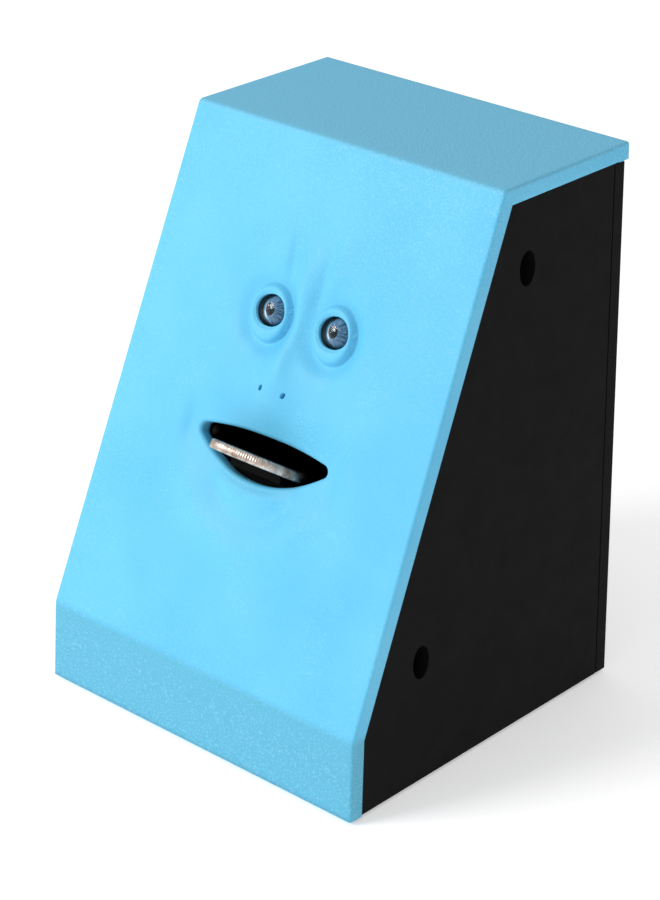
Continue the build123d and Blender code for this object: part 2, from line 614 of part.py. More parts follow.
def throat():
    """Fixed duct behind the mouth: two cheeks, a palate and the bars that screw it to the frame."""
    front_w, bar_w = -4.4, (-9.1, -11.0)  # front edge of the cheeks, and the two bars' faces
    outline = [
        on_slant(38, front_w), on_slant(58.8, front_w), (33.5, 74.0), (45.0, 61.6), (50.0, 52.6),
        (59.2, 51.0), (59.2, 41.0), (48.0, 40.4), (30.0, 44.2),
    ]
    cheeks = both_sides(prism_x(outline, CHEEK_IN, CHEEK_OUT))
    front_y, front_z = on_slant(57.2, front_w)
    palate = prism_x(
        [(front_y, front_z), (44.4, 60.6), (45.2, 62.0), (front_y + 0.6, front_z + 1.6)],
        -CHEEK_IN - 0.5, CHEEK_IN + 0.5,
    )

    def bar(low_v, high_v, x0, x1):
        corners = [(low_v, 0), (high_v, 0), (high_v, 1), (low_v, 1)]
        return prism_x([on_slant(v, bar_w[k]) for v, k in corners], x0, x1)

    upper = bar(57, 67, -16, 16)
    lower = bar(32, 37.4, -CHEEK_OUT, CHEEK_OUT)
    feet = both_sides(bar(32, 40.5, CHEEK_IN, CHEEK_OUT))
    body = merge(cheeks + [palate, upper, lower] + feet)
    for y, z in BOARD_POSTS:
        body = body + rod_x(y, z, 2.2, -CHEEK_OUT + 0.5, -BOARD_X + 0.05)
        body = body - rod_x(y, z, SMALL_SCREW_R, -CHEEK_OUT - 1, -BOARD_X - 1)
    for side in (-1, 1):
        body = body - rod_x(PIVOT_Y, PIVOT_Z, PIVOT_PIN_R, side * 18, side * 23)
        body = body - rod_x(SENSOR[0], SENSOR[1], 1.55, side * 18, side * 23)
        for v in THROAT_SCREW_V:
            body = body - face_rod(side * THROAT_SCREW_X, v, 1.1, -12, -8)
    body = body - rod_x(CRANK_AXIS[0], CRANK_AXIS[1], JOURNAL_R + 0.4, 18, 23)
    for y, z in GEARBOX_SCREWS:
        body = body - rod_x(y, z, SMALL_SCREW_R, CHEEK_IN + 0.4, 23)
    return body


BOARD_X = 27.0  # the circuit board stands this far left of the centre plane
BOARD_T = 1.6
BOARD_POSTS = [(33.2, 63.4), (31.6, 49.8), (45.6, 55.0)]
SENSOR = (28.0, 65.0)


def jaw_pins():
    """Two steel pins that the jaw swings on."""
    return Compound(children=both_sides(rod_x(PIVOT_Y, PIVOT_Z, PIVOT_PIN_R, ARM_IN - 0.6, CHEEK_OUT)))


def sensor_lamp(side):
    """Infrared emitter or receiver: 3 mm body with a flange and two legs."""
    y, z = SENSOR
    tip = Pos(side * (CHEEK_IN + 1.0), y, z) * Sphere(1.5)
    body = rod_x(y, z, 1.5, side * (CHEEK_IN + 1.0), side * (CHEEK_OUT + 2.2))
    flange = rod_x(y, z, 1.9, side * (CHEEK_OUT + 0.1), side * (CHEEK_OUT + 1.1))
    legs = [rod_x(y + dy, z, 0.25, side * (CHEEK_OUT + 2), side * (CHEEK_OUT + 5)) for dy in (-0.6, 0.6)]
    return merge([tip + body, flange] + legs)


# ================================================================ gearbox and motor
def gearbox_base():
    """Inner plate that carries the axles and the motor, with three posts for the cover."""
    outline = [
        (28.6, 70.6), (25.4, 64.0), (25.8, 53.0), (30.0, 45.4), (48.0, 44.8), (52.5, 51.5),
        (71.5, 51.5), (71.5, 73.0), (64.0, 79.8), (42.0, 84.0), (36.6, 84.0),
    ]
    plate = prism_x(outline, *BASE_PLATE_X)
    plate = plate - rod_x(CRANK_AXIS[0], CRANK_AXIS[1], JOURNAL_R + RUN, 20, 25)
    plate = plate - rod_x(MOTOR_AXIS[0], MOTOR_AXIS[1], 3.1, 20, 25)
    plate = plate - rod_x(SENSOR[0], SENSOR[1], 2.4, 20, 25)
    for y, z in GEARBOX_POSTS:
        plate = plate + rod_x(y, z, 2.2, BASE_PLATE_X[0], COVER_PLATE_X[0] - 0.02)
        plate = plate - rod_x(y, z, SMALL_SCREW_R, COVER_PLATE_X[0] - 6, COVER_PLATE_X[0] + 1)
    for y, z in (IDLER_AXIS, FIRST_AXIS):
        plate = plate - rod_x(y, z, AXLE_R, 20, 25)
    for y, z in GEARBOX_SCREWS:
        plate = plate - rod_x(y, z, SMALL_CLEAR_R, 20, 25)
    for y, z in MOTOR_SCREWS:
        plate = plate - rod_x(y, z, SMALL_CLEAR_R, 20, 25)
    return plate


def gearbox_cover():
    """Outer plate that carries the other ends of the axles."""
    outline = [
        (30.4, 66.0), (29.6, 52.0), (34.0, 49.6), (48.0, 49.0), (52.0, 54.0), (65.2, 73.0),
        (64.6, 79.6), (60.0, 80.6), (41.0, 84.4), (35.6, 83.0),
    ]
    plate = prism_x(outline, *COVER_PLATE_X)
    for y, z in GEARBOX_POSTS:
        plate = plate - rod_x(y, z, SMALL_CLEAR_R, 30, 40)
    for y, z in (CRANK_AXIS, IDLER_AXIS, FIRST_AXIS):
        plate = plate - rod_x(y, z, AXLE_R, 30, 40)
    return plate


def crank_gear():
    """Output gear on a wide journal, with the eccentric pin that works in the jaw's slot."""
    y, z = CRANK_AXIS
    body = gear(CRANK_AXIS, CRANK_TEETH, MODULE_CRANK, LAYER_A, math.radians(TO_IDLER))
    body = body + rod_x(y, z, JOURNAL_R, CHEEK_IN, LAYER_A[0])
    body = body + rod_x(y, z, HUB_R, LAYER_A[1], COVER_PLATE_X[0] - 0.2)
    body = body + rod_x(CRANK_PIN[0], CRANK_PIN[1], CRANK_PIN_R, ARM_IN + 0.3, CHEEK_IN)
    return body - rod_x(y, z, AXLE_R + RUN, LAYER_A[0] - 0.5, COVER_PLATE_X[0])


def idler_gear():
    """Second compound gear: its pinion drives the crank gear."""
    y, z = IDLER_AXIS
    pinion_phase = mesh_phase(TO_IDLER, PINION_TEETH)
    body = gear(IDLER_AXIS, PINION_TEETH, MODULE_CRANK, (LAYER_A[0], LAYER_B[0]), pinion_phase)
    body = body + gear(IDLER_AXIS, IDLER_TEETH, MODULE_FINE, LAYER_B, math.radians(TO_FIRST))
    body = body + rod_x(y, z, 1.7, LAYER_B[1], COVER_PLATE_X[0] - 0.2)
    return body - rod_x(y, z, AXLE_R + RUN, LAYER_A[0] - 1, COVER_PLATE_X[0])


def first_gear():
    """First compound gear: its large wheel is driven by the motor pinion."""
    y, z = FIRST_AXIS
    pinion_phase = mesh_phase(TO_FIRST, PINION_TEETH)
    body = rod_x(y, z, HUB_R, LAYER_A[0] - 0.2, LAYER_B[0])
    body = body + gear(FIRST_AXIS, PINION_TEETH, MODULE_FINE, (LAYER_B[0], LAYER_C[0]), pinion_phase)
    body = body + gear(FIRST_AXIS, FIRST_TEETH, MODULE_FINE, LAYER_C, math.radians(TO_MOTOR))
    body = body + rod_x(y, z, HUB_R, LAYER_C[1], COVER_PLATE_X[0] - 0.2)
    return body - rod_x(y, z, AXLE_R + RUN, LAYER_A[0] - 1, COVER_PLATE_X[0])


def motor_pinion():
    """Brass pinion pressed on the motor shaft."""
    y, z = MOTOR_AXIS
    teeth = gear(MOTOR_AXIS, PINION_TEETH, MODULE_FINE, LAYER_C, mesh_phase(TO_MOTOR, PINION_TEETH))
    return teeth + rod_x(y, z, 2.0, LAYER_C[0] - 3, LAYER_C[0]) - rod_x(y, z, AXLE_R, 20, 40)


MOTOR_X = (-3.9, 21.4)


def motor_shaft():
    """Steel shaft of the motor."""
    return rod_x(MOTOR_AXIS[0], MOTOR_AXIS[1], AXLE_R, MOTOR_X[0] - 3.4, 32.6)


def motor_can():
    """Drawn steel can with two flats and a bearing boss."""
    y, z = MOTOR_AXIS
    can = rod_x(y, z, 10.0, *MOTOR_X) & block(-60, 60, y - 20, y + 20, z - 7.5, z + 7.5)
    can = can + rod_x(y, z, 3.0, MOTOR_X[1], BASE_PLATE_X[1])
    for screw_y, screw_z in MOTOR_SCREWS:
        can = can - rod_x(screw_y, screw_z, SMALL_SCREW_R, MOTOR_X[1] - 3, MOTOR_X[1] + 3)
    return can - rod_x(y, z, AXLE_R + RUN, MOTOR_X[0] - 1, 40)


def motor_end_cap():
    """Plastic end bell with the rear bearing and two terminals."""
    y, z = MOTOR_AXIS
    flats = block(-60, 60, y - 20, y + 20, z - 7.4, z + 7.4)
    cap = rod_x(y, z, 9.9, MOTOR_X[0] - 2.0, MOTOR_X[0]) & flats
    cap = cap + rod_x(y, z, 3.0, MOTOR_X[0] - 3.2, MOTOR_X[0] - 2.0)
    return cap - rod_x(y, z, AXLE_R + RUN, -20, 0)


def motor_terminals():
    """Two solder tags on the end bell."""
    y, z = MOTOR_AXIS
    x0 = MOTOR_X[0] - 2.0
    tags = [block(x0 - 3.4, x0, y + dy - 1.2, y + dy + 1.2, z - 0.2, z + 0.2) for dy in (-6.5, 6.5)]
    return Compound(children=tags)


def axles():
    """Three steel axles of the gearbox."""
    rods = [rod_x(CRANK_AXIS[0], CRANK_AXIS[1], AXLE_R, LAYER_A[0] - 0.3, COVER_PLATE_X[1])]
    for y, z in (IDLER_AXIS, FIRST_AXIS):
        rods.append(rod_x(y, z, AXLE_R, BASE_PLATE_X[0], COVER_PLATE_X[1]))
    return Compound(children=rods)


# ================================================================ electronics
BOARD_OUTLINE = (28.0, 62.0, 46.0, 70.0)  # y0, y1, z0, z1


def main_board():
    """Circuit board on three posts beside the throat."""
    y0, y1, z0, z1 = BOARD_OUTLINE
    board = block(-BOARD_X - BOARD_T, -BOARD_X, y0, y1, z0, z1) - block(-40, 0, 0, 33, 66.2, 80)
    board = board - block(-40, 0, 50, 80, 40, 52.4)
    for y, z in BOARD_POSTS:
        board = board - rod_x(y, z, SMALL_CLEAR_R, -40, 0)
    return board


def on_board(y, z, dy, dz, height):
    """Block standing on the board's component side."""
    back = -BOARD_X - BOARD_T
    return block(back - height, back, y - dy / 2, y + dy / 2, z - dz / 2, z + dz / 2)


def board_chip():
    """Control chip with two rows of legs."""
    y, z = 38.2, 56.6
    body = on_board(y, z, 9.9, 3.9, 1.6)
    legs = [on_board(y - 4.4 + 1.27 * i, z + s * 2.5, 0.4, 1.2, 0.5) for i in range(8) for s in (-1, 1)]
    return merge([body] + legs)


def board_capacitor():
    """Upright electrolytic capacitor."""
    back = -BOARD_X - BOARD_T
    can = rod_x(56.5, 65.0, 3.1, back - 7, back)
    return fillet(can.edges().sort_by(Axis.X)[0], 0.5)


def board_resistors():
    """Row of surface-mount resistors and two transistors."""
    resistors = [on_board(36 + 3.2 * i, 50.2, 1.2, 2.0, 0.6) for i in range(4)]
    transistors = [on_board(47.5, z, 3.0, 1.6, 1.1) for z in (61.5, 65.0)]
    return Compound(children=resistors + transistors)


BATTERY_PLUG, MOTOR_PLUG, SENSOR_PLUG = (52.8, 57.6), (41.0, 67.0), (39.5, 62.4)  # y, z


def board_connectors():
    """Three two-way plug sockets."""
    plugs = (BATTERY_PLUG, MOTOR_PLUG, SENSOR_PLUG)
    return Compound(children=[on_board(y, z, 5.0, 3.6, 4.0) for y, z in plugs])


def power_switch():
    """Slide switch body with a mounting flange."""
    body = block(-6.2, 6.2, 85.0, 89.8, SWITCH_Z - 3, SWITCH_Z + 3)
    body = body + block(-12, 12, 89.7, 90.5, SWITCH_Z - 3, SWITCH_Z + 3)
    body = body - block(-4.4, 4.4, 87.0, 91, SWITCH_Z - 1.0, SWITCH_Z + 1.0)
    for x, z in SWITCH_SCREWS:
        body = body - rod_y(x, z, SMALL_CLEAR_R, 85, 95)
    return body


def switch_knob():
    """Ribbed knob of the slide switch."""
    x = -SWITCH_THROW / 2
    knob = block(x - 2.2, x + 2.2, 90.7, 93.7, SWITCH_Z - 1.7, SWITCH_Z + 1.7)
    for i in (-1, 0, 1):
        knob = knob - block(x + i * 1.2 - 0.2, x + i * 1.2 + 0.2, 93.3, 95, SWITCH_Z - 3, SWITCH_Z + 3)
    return knob + block(x - 1.8, x + 1.8, 87.3, 91, SWITCH_Z - 0.8, SWITCH_Z + 0.8)


# ================================================================ screws
def screw(plane, radius, head_r, head_t, length):
    """Pan-head screw: local z runs out of the head, local origin under the head."""
    head = extrude(Circle(head_r), head_t)
    head = fillet(head.edges().sort_by(Axis.Z)[-1], head_t * 0.4)
    slot = Pos(0, 0, head_t) * (Box(head_r * 1.1, 0.5, head_t) + Box(0.5, head_r * 1.1, head_t))
    shank = extrude(Circle(radius), -length)
    return plane * (head - slot + shank)


def side_screws():
    """Four screws at the bottom of the wells in the sides."""
    made = []
    for y, z in SIDE_SCREWS:
        x = half_width(z, WELL_DEPTH + 2.0) + 1.6
        for side in (-1, 1):
            plane = Plane(origin=(side * x, y, z), x_dir=(0, 1, 0), z_dir=(side, 0, 0))
            made.append(screw(plane, SCREW_R, WELL_SCREW_HEAD_R, 1.8, 11))
    return Compound(children=made)


def rear_screws():
    """Four screws that hold the rear cover."""
    made = []
    for x, z in REAR_SCREWS:
        plane = Plane(origin=(x, REAR_Y - 1.5, z), x_dir=(1, 0, 0), z_dir=(0, 1, 0))
        made.append(screw(plane, SCREW_R, SCREW_HEAD_R, 1.3, 13))
    return Compound(children=made)


def throat_screws():
    """Four screws that hold the throat to the frame's bosses."""
    made = []
    for x in (-THROAT_SCREW_X, THROAT_SCREW_X):
        for v in THROAT_SCREW_V:
            y, z = on_slant(v, -11.0)
            plane = Plane(origin=(x, y, z), x_dir=(1, 0, 0), z_dir=(0, COS, -SIN))
            made.append(screw(plane, SMALL_SCREW_R, SMALL_HEAD_R, 1.1, 6.2))
    return Compound(children=made)


def screws_along_x(places, x, side, length):
    """Group of small screws whose heads face along x."""
    made = []
    for y, z in places:
        plane = Plane(origin=(x, y, z), x_dir=(0, 1, 0), z_dir=(side, 0, 0))
        made.append(screw(plane, SMALL_SCREW_R, SMALL_HEAD_R, 1.1, length))
    return Compound(children=made)


def screws_along_y(places, y, side, length, radius=SMALL_SCREW_R, head_r=SMALL_HEAD_R):
    """Group of screws whose heads face along y."""
    made = []
    for x, z in places:
        plane = Plane(origin=(x, y, z), x_dir=(1, 0, 0), z_dir=(0, side, 0))
        made.append(screw(plane, radius, head_r, 1.1, length))
    return Compound(children=made)


# ================================================================ assembly
def assembly():
    """Every node of the object, by name."""
    low, high = BATTERY_Z
    parts = {
        "face_skin": face_skin(),
        "front_frame": front_frame(),
        "case_shell": case_shell(),
        "rear_cover": rear_cover(),
        "coin_door": coin_door(),
        "coin_door_hinge_pin": rod_x(*DOOR_HINGE, HINGE_PIN_R, COIN_DOOR[0], COIN_DOOR[1]),
        "coin_door_lock": door_lock(),
        "battery_door": battery_door(),
        "battery_door_screw": screws_along_y([(0, BATTERY_SCREW_Z)], REAR_Y - 1.1, 1, 6, SCREW_R, 2.3),
        "battery_box": battery_box(),
        "battery_box_screws": screws_along_y(EAR_SCREWS, 87.6, -1, 4.2),
        "battery_lower": battery_cell(low, 1),
        "battery_upper": battery_cell(high, -1),
        "battery_spring_left": battery_spring(low, -1),
        "battery_spring_right": battery_spring(high, 1),
        "battery_contacts": battery_contacts(),
        "throat": throat(),
        "throat_screws": throat_screws(),
        "jaw": jaw(),
        "jaw_pivot_pins": jaw_pins(),
        "coin": coin(),
        "gearbox_base": gearbox_base(),
        "gearbox_cover": gearbox_cover(),
        "gearbox_axles": axles(),
        "gearbox_mounting_screws": screws_along_x(GEARBOX_SCREWS, BASE_PLATE_X[1], 1, 3.0),
        "gearbox_cover_screws": screws_along_x(GEARBOX_POSTS, COVER_PLATE_X[1], 1, 5.5),
        "crank_gear": crank_gear(),
        "idler_gear": idler_gear(),
        "first_gear": first_gear(),
        "motor_pinion": motor_pinion(),
        "motor_shaft": motor_shaft(),
        "motor_can": motor_can(),
        "motor_end_cap": motor_end_cap(),
        "motor_terminals": motor_terminals(),
        "motor_screws": screws_along_x(MOTOR_SCREWS, BASE_PLATE_X[1], 1, 4.2),
        "main_board": main_board(),
        "board_screws": screws_along_x(BOARD_POSTS, -BOARD_X - BOARD_T, -1, 5.0),
        "board_chip": board_chip(),
        "board_capacitor": board_capacitor(),
        "board_resistors": board_resistors(),
        "board_connectors": board_connectors(),
        "sensor_emitter": sensor_lamp(1),
        "sensor_receiver": sensor_lamp(-1),
        "power_switch": power_switch(),
        "power_switch_knob": switch_knob(),
        "power_switch_screws": screws_along_y(SWITCH_SCREWS, 89.7, -1, 2.6),
        "side_screws": side_screws(),
        "rear_cover_screws": rear_screws(),
    }
    for name, side in (("left", -1), ("right", 1)):
        for piece, shape in eye_parts(side).items():
            parts[f"eye_{piece}_{name}"] = shape
    parts["rubber_feet"] = Compound(children=[rubber_foot(x, y) for x, y in FEET])
    return parts


def main():
    os.makedirs("parts", exist_ok=True)
    for name, shape in assembly().items():
        export_step(Pos(0, -DEPTH / 2, 0) * shape, f"parts/{name}.step")


main()
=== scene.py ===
import json
import math
from functools import partial

import bmesh
import bpy
import numpy as np
from mathutils import Matrix, Vector


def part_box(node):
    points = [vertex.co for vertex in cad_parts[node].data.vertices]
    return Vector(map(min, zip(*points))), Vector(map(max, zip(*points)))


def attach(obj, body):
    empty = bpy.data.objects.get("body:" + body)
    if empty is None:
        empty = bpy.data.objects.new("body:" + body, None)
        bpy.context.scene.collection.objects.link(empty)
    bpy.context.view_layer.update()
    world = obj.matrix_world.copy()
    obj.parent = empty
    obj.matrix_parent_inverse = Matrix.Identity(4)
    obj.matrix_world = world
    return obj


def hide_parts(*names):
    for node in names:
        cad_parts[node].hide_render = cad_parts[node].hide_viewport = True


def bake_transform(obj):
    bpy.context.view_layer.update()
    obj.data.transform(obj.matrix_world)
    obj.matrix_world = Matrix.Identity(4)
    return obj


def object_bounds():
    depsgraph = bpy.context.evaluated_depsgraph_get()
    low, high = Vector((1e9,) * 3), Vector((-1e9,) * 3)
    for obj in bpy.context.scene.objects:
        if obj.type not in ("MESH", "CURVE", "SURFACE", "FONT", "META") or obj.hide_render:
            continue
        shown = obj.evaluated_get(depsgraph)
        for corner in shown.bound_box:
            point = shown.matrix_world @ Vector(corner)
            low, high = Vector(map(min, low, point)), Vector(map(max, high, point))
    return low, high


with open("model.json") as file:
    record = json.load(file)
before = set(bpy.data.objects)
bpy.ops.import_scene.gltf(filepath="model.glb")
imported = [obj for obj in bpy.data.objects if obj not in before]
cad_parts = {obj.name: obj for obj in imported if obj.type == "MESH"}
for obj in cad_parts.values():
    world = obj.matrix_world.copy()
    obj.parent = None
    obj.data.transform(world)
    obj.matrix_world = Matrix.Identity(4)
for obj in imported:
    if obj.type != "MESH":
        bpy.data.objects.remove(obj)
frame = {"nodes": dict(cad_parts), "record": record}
cad_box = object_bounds()

MM = 0.001
RECORD_SLOTS = {part["node"]: part["material_slot"] for part in frame["record"]["subparts"]}

# ---------------------------------------------------------------- the skin's main shape, in millimetres
skin_lo, skin_hi = (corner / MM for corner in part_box("face_skin"))
FRONT_Y, BACK_Y = skin_lo.y, skin_hi.y
FOOT_Z, TOP_Z = skin_lo.z, skin_hi.z
DRAFT = 2.4 / 134.2  # each side leans in by this much per millimetre of height
KICK_TOP, KICK_LEAN = 20.5, 0.9
CAP_FRONT = 49.9  # from the front foot back to the front edge of the cap
LIP = 4.0  # how far the skin wraps round the sides
SHEET = 2.0
LIP_DEPTH = 3.8  # the mouth's rim turns in this far
SLANT = math.atan2(CAP_FRONT - KICK_LEAN, TOP_Z - KICK_TOP)
SIN, COS = math.sin(SLANT), math.cos(SLANT)

# the mouth's outline on the slant: half width, and how high its ends, top and bottom are
MOUTH_HALF, MOUTH_END, MOUTH_TOP, MOUTH_BOTTOM = 19.3, 52.5, 55.6, 44.7
MOUTH_ROUND = 1.6  # radius of the mouth's two ends
BALL_DEPTH, LENS_R = 5.8, 6.0  # the lens is a ball centred this deep under the slant
EYE_LENSES = {-1: "eye_lens_left", 1: "eye_lens_right"}
EYE_X = {side: (sum(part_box(node), Vector()) / 2 / MM).x for side, node in EYE_LENSES.items()}
LID_SHIFT = 0.6  # the lids sit this far to the right of the balls
EYE_V = 83.0
NOSTRIL_X, NOSTRIL_V = 3.4, 65.9
NOSTRIL_R, NOSTRIL_HALF, NOSTRIL_LEAN = 0.5, 0.22, 0.25
FACE_V = (34.0, 106.0)  # where the grid is fine, up the slant
FACE_X = 26.0
FINE = 0.35  # spacing of the fine grid
EDGE_FLAT = 42.0  # the columns keep their distance from the centre out to here
EDGE_R = 0.7


def half_width(z):
    return skin_hi.x - DRAFT * (z - FOOT_Z)


def on_slant(v, w):
    """(y, z) of the point v up the slant from the knee and w outward."""
    return FRONT_Y + KICK_LEAN + v * SIN - w * COS, KICK_TOP + v * COS + w * SIN


# ================================================================ relief of the face
def smooth_max(a, b, k):
    h = np.clip(0.5 + 0.5 * (a - b) / k, 0, 1)
    return b + (a - b) * h + k * h * (1 - h)


def smooth_step(t):
    t = np.clip(t, 0, 1)
    return t * t * (3 - 2 * t)


def bump(t, width):
    return np.exp(-((t / width) ** 2))


def mouth_core():
    """Pointed outline that the mouth's is drawn round, at MOUTH_ROUND from it."""
    half = MOUTH_HALF - MOUTH_ROUND
    across = np.linspace(-half, half, 25)
    t = across / half
    end_v = MOUTH_END + 0.35 * t  # the right end is a little higher
    upper = end_v + (MOUTH_TOP - MOUTH_ROUND - MOUTH_END) * (1 - np.abs(t) ** 2.4)
    lower = end_v - (MOUTH_END - MOUTH_BOTTOM - MOUTH_ROUND) * (1 - np.abs(t) ** 2.1)
    return np.array([*zip(across, upper), *zip(across[-2:0:-1], lower[-2:0:-1])])


MOUTH_CORE = mouth_core()


def mouth_distance(x, v):
    """Distance outside the mouth's outline, negative inside."""
    nearest = np.full(np.shape(x), 1e9)
    inside = np.zeros(np.shape(x), bool)
    for (ax, av), (bx, bv) in zip(MOUTH_CORE, np.roll(MOUTH_CORE, -1, axis=0)):
        ex, ev = bx - ax, bv - av
        t = np.clip(((x - ax) * ex + (v - av) * ev) / (ex * ex + ev * ev), 0, 1)
        nearest = np.minimum(nearest, np.hypot(x - ax - t * ex, v - av - t * ev))
        crosses = (av > v) != (bv > v)
        with np.errstate(divide="ignore", invalid="ignore"):
            inside ^= crosses & (x < ax + (v - av) * ex / (ev if ev else 1e-9))
    return np.where(inside, -nearest, nearest) - MOUTH_ROUND


def eye_polar(x, v, side):
    dx, dv = x - EYE_X[side] - LID_SHIFT, v - EYE_V
    return dx, dv, np.sqrt(dx**2 + dv**2)


def eye_opening(angle):
    """Radius of the opening between the lids: rounded, with two slightly drawn-out corners."""
    corner = 0.3 * np.exp(-(((angle + 0.25) / 0.4) ** 2)) + 0.25 * np.exp(-(((angle + 2.1) / 0.5) ** 2))
    return 3.95 + corner + 0.28 * np.cos(2 * angle) + 0.3 * np.cos(angle)


def lid_edge(angle):
    """Radius of the lids' outer foot: an upright oval that hangs a little below the ball's centre."""
    a, b, drop = 5.75, 6.85, 0.6
    across, up = np.cos(angle), np.sin(angle)
    square = across**2 / a**2 + up**2 / b**2
    half = drop * up / b**2
    return (-half + np.sqrt(half**2 - square * (drop**2 / b**2 - 1))) / square


def eye_distance(x, v, side):
    """Distance outside the opening between the lids."""
    dx, dv, r = eye_polar(x, v, side)
    return r - eye_opening(np.arctan2(dv, dx))


def nostril_distance(x, v, side):
    dx, dv = x - side * NOSTRIL_X, v - NOSTRIL_V
    along = np.clip(dv, -NOSTRIL_HALF, NOSTRIL_HALF)
    return np.sqrt((dx - NOSTRIL_LEAN * dv) ** 2 + (dv - along) ** 2) - NOSTRIL_R


def brow_and_nose(x, v):
    ax = np.abs(x)
    brow_window = smooth_step((v - 70) / 12) * smooth_step((112 - v) / 14)
    w = 1.9 * np.exp(-((x / 6.6) ** 2) - ((v - 67.5) / 7.0) ** 2)  # tip of the nose
    w = w + 1.1 * bump(x, 2.7) * smooth_step((v - 64) / 10) * smooth_step((104 - v) / 18)  # its ridge
    frown = bump(ax - 4.6 - 0.05 * (v - 86), 1.5)
    w = w - 0.55 * frown * smooth_step((v - 84) / 5) * smooth_step((107 - v) / 14)
    w = w + 0.35 * bump(ax - 8.5, 3.4) * smooth_step((v - 91) / 5) * smooth_step((112 - v) / 12)
    w = w - 0.3 * bump(ax - 12.5, 3.0) * bump(v - 72, 5.0)  # under the eyes, towards the cheeks
    return w + 0.12 * brow_window * np.sin(0.31 * x + 0.7) * np.cos(0.19 * v)


def add_lips_and_chin(w, x, v):
    ax = np.abs(x)
    outside = np.maximum(mouth_distance(x, v), 0)
    w = w - 0.9 * bump(outside, 5.0)
    lower_half = smooth_step((50 - v) / 8)
    w = w + 0.9 * bump(outside - 2.6, 2.4) * lower_half * smooth_step((17 - ax) / 8)  # lower lip
    r = np.sqrt(x**2 + (v - 47.5) ** 2)
    w = w - 0.7 * bump(r - 11.6, 2.6) * lower_half  # furrow under it
    w = w + 0.75 * bump(r - 19.0, 3.6) * smooth_step((46 - v) / 9)  # chin
    w = w + 0.35 * bump(v - 33, 6) * bump(x, 6)
    return w - 0.35 * bump(ax - 21.5, 3.2) * bump(v - 53, 7)  # dimples beside the mouth


def add_eye(w, x, v, side):
    """Sinks the socket round one eye and raises its lids."""
    dx, dv, r = eye_polar(x, v, side)
    angle = np.arctan2(dv, dx)
    inner, outer = eye_opening(angle), lid_edge(angle)
    beyond = r - outer
    toward = 0.5 + 0.5 * np.cos(angle + 0.9)  # the crease is strongest at the lower right of each eye
    floor = -(0.95 + 0.85 * toward) * np.where(beyond < 0, 1.0, bump(beyond, 2.7))
    socket = w * smooth_step((beyond + 1) / 5) + floor
    t = np.clip((r - inner) / (outer - inner), -0.2, 1.2)
    crown = np.sqrt(np.maximum(1 - (2 * t - 1) ** 2, 0))
    lid = -1.0 - 0.45 * t + (1.55 + 0.15 * np.sin(angle)) * crown
    lid = np.where(t < 1, lid, -9.0)
    eye = np.where(beyond > -0.5 * (outer - inner), smooth_max(socket, lid, 0.35), lid)
    return np.where(r < 14, eye, w)


def relief(x, v):
    """Height of the moulded face above the flat slant."""
    w = add_lips_and_chin(brow_and_nose(x, v), x, v)
    for side in (-1, 1):
        w = add_eye(w, x, v, side)
    fade = smooth_step((27 - np.abs(x)) / 5) * smooth_step((v - 6) / 14) * smooth_step((118 - v) / 8)
    return np.maximum(w * fade, -1.85)


HOLES = [  # (kind, side, distance outside it, radius of its rounded rim)
    ("mouth", 0, mouth_distance, 1.0),
    ("eye", -1, partial(eye_distance, side=-1), 0.3),
    ("eye", 1, partial(eye_distance, side=1), 0.3),
    ("nostril", -1, partial(nostril_distance, side=-1), 0.22),
    ("nostril", 1, partial(nostril_distance, side=1), 0.22),
]


def material_left(x, v):
    """Positive where there is skin, negative in a hole widened by its rounded rim."""
    return np.minimum.reduce([shape(x, v) - rim for _, _, shape, rim in HOLES])


# ================================================================ the skin's grid
def unit(dy, dz):
    length = math.hypot(dy, dz)
    return np.array([dy / length, dz / length])


def outline_stations():
    """Stations along the side outline, each a corner or a point between two, how that moves per millimetre
    of inset, how the rounding displaces it, and v on the slant."""
    corners = [
        np.array([FRONT_Y, FOOT_Z]),
        np.array([FRONT_Y + KICK_LEAN, KICK_TOP]),
        np.array([FRONT_Y + CAP_FRONT, TOP_Z]),
        np.array([BACK_Y, TOP_Z]),
        np.array([BACK_Y, TOP_Z - LIP]),
    ]
    steps = [unit(*(b - a)) for a, b in zip(corners, corners[1:])]
    inward = [np.array([d[1], -d[0]]) for d in steps]
    mitres = [np.array([1.0, 0.0])]
    for a, b in zip(inward, inward[1:]):
        mitres.append((a + b) / (1 + a @ b))
    mitres.append(np.array([-1.0, 0.0]))
    rounding = [0, 1.1, 0.8, 0.8, 0]
    stations = []

    def straight(i, fractions, v_known=None):
        for k, t in enumerate(fractions):
            v = None if v_known is None else v_known[k]
            corner = corners[i] * (1 - t) + corners[i + 1] * t
            curve = ((1 - t) * rounding[i] - t * rounding[i + 1]) * steps[i]
            stations.append((corner, mitres[i] * (1 - t) + mitres[i + 1] * t, curve, v))

    def bend(i, count=7):
        for t in np.linspace(0, 1, count)[1:-1]:
            curve = rounding[i] * (t**2 * steps[i] - (1 - t) ** 2 * steps[i - 1])
            stations.append((corners[i], mitres[i], curve, None))

    slant_length = np.linalg.norm(corners[2] - corners[1])
    low, high = rounding[1], slant_length - rounding[2]
    fine = np.arange(*FACE_V, FINE)
    slant_v = np.concatenate([np.linspace(low, FACE_V[0], 17)[:-1], fine, np.linspace(FACE_V[1], high, 9)])
    straight(0, np.linspace(0, 1, 12))
    bend(1)
    straight(1, (slant_v - low) / (high - low), slant_v)
    bend(2)
    straight(2, np.linspace(0, 1, 18))
    bend(3)
    straight(3, np.linspace(0, 1, 4))
    return stations


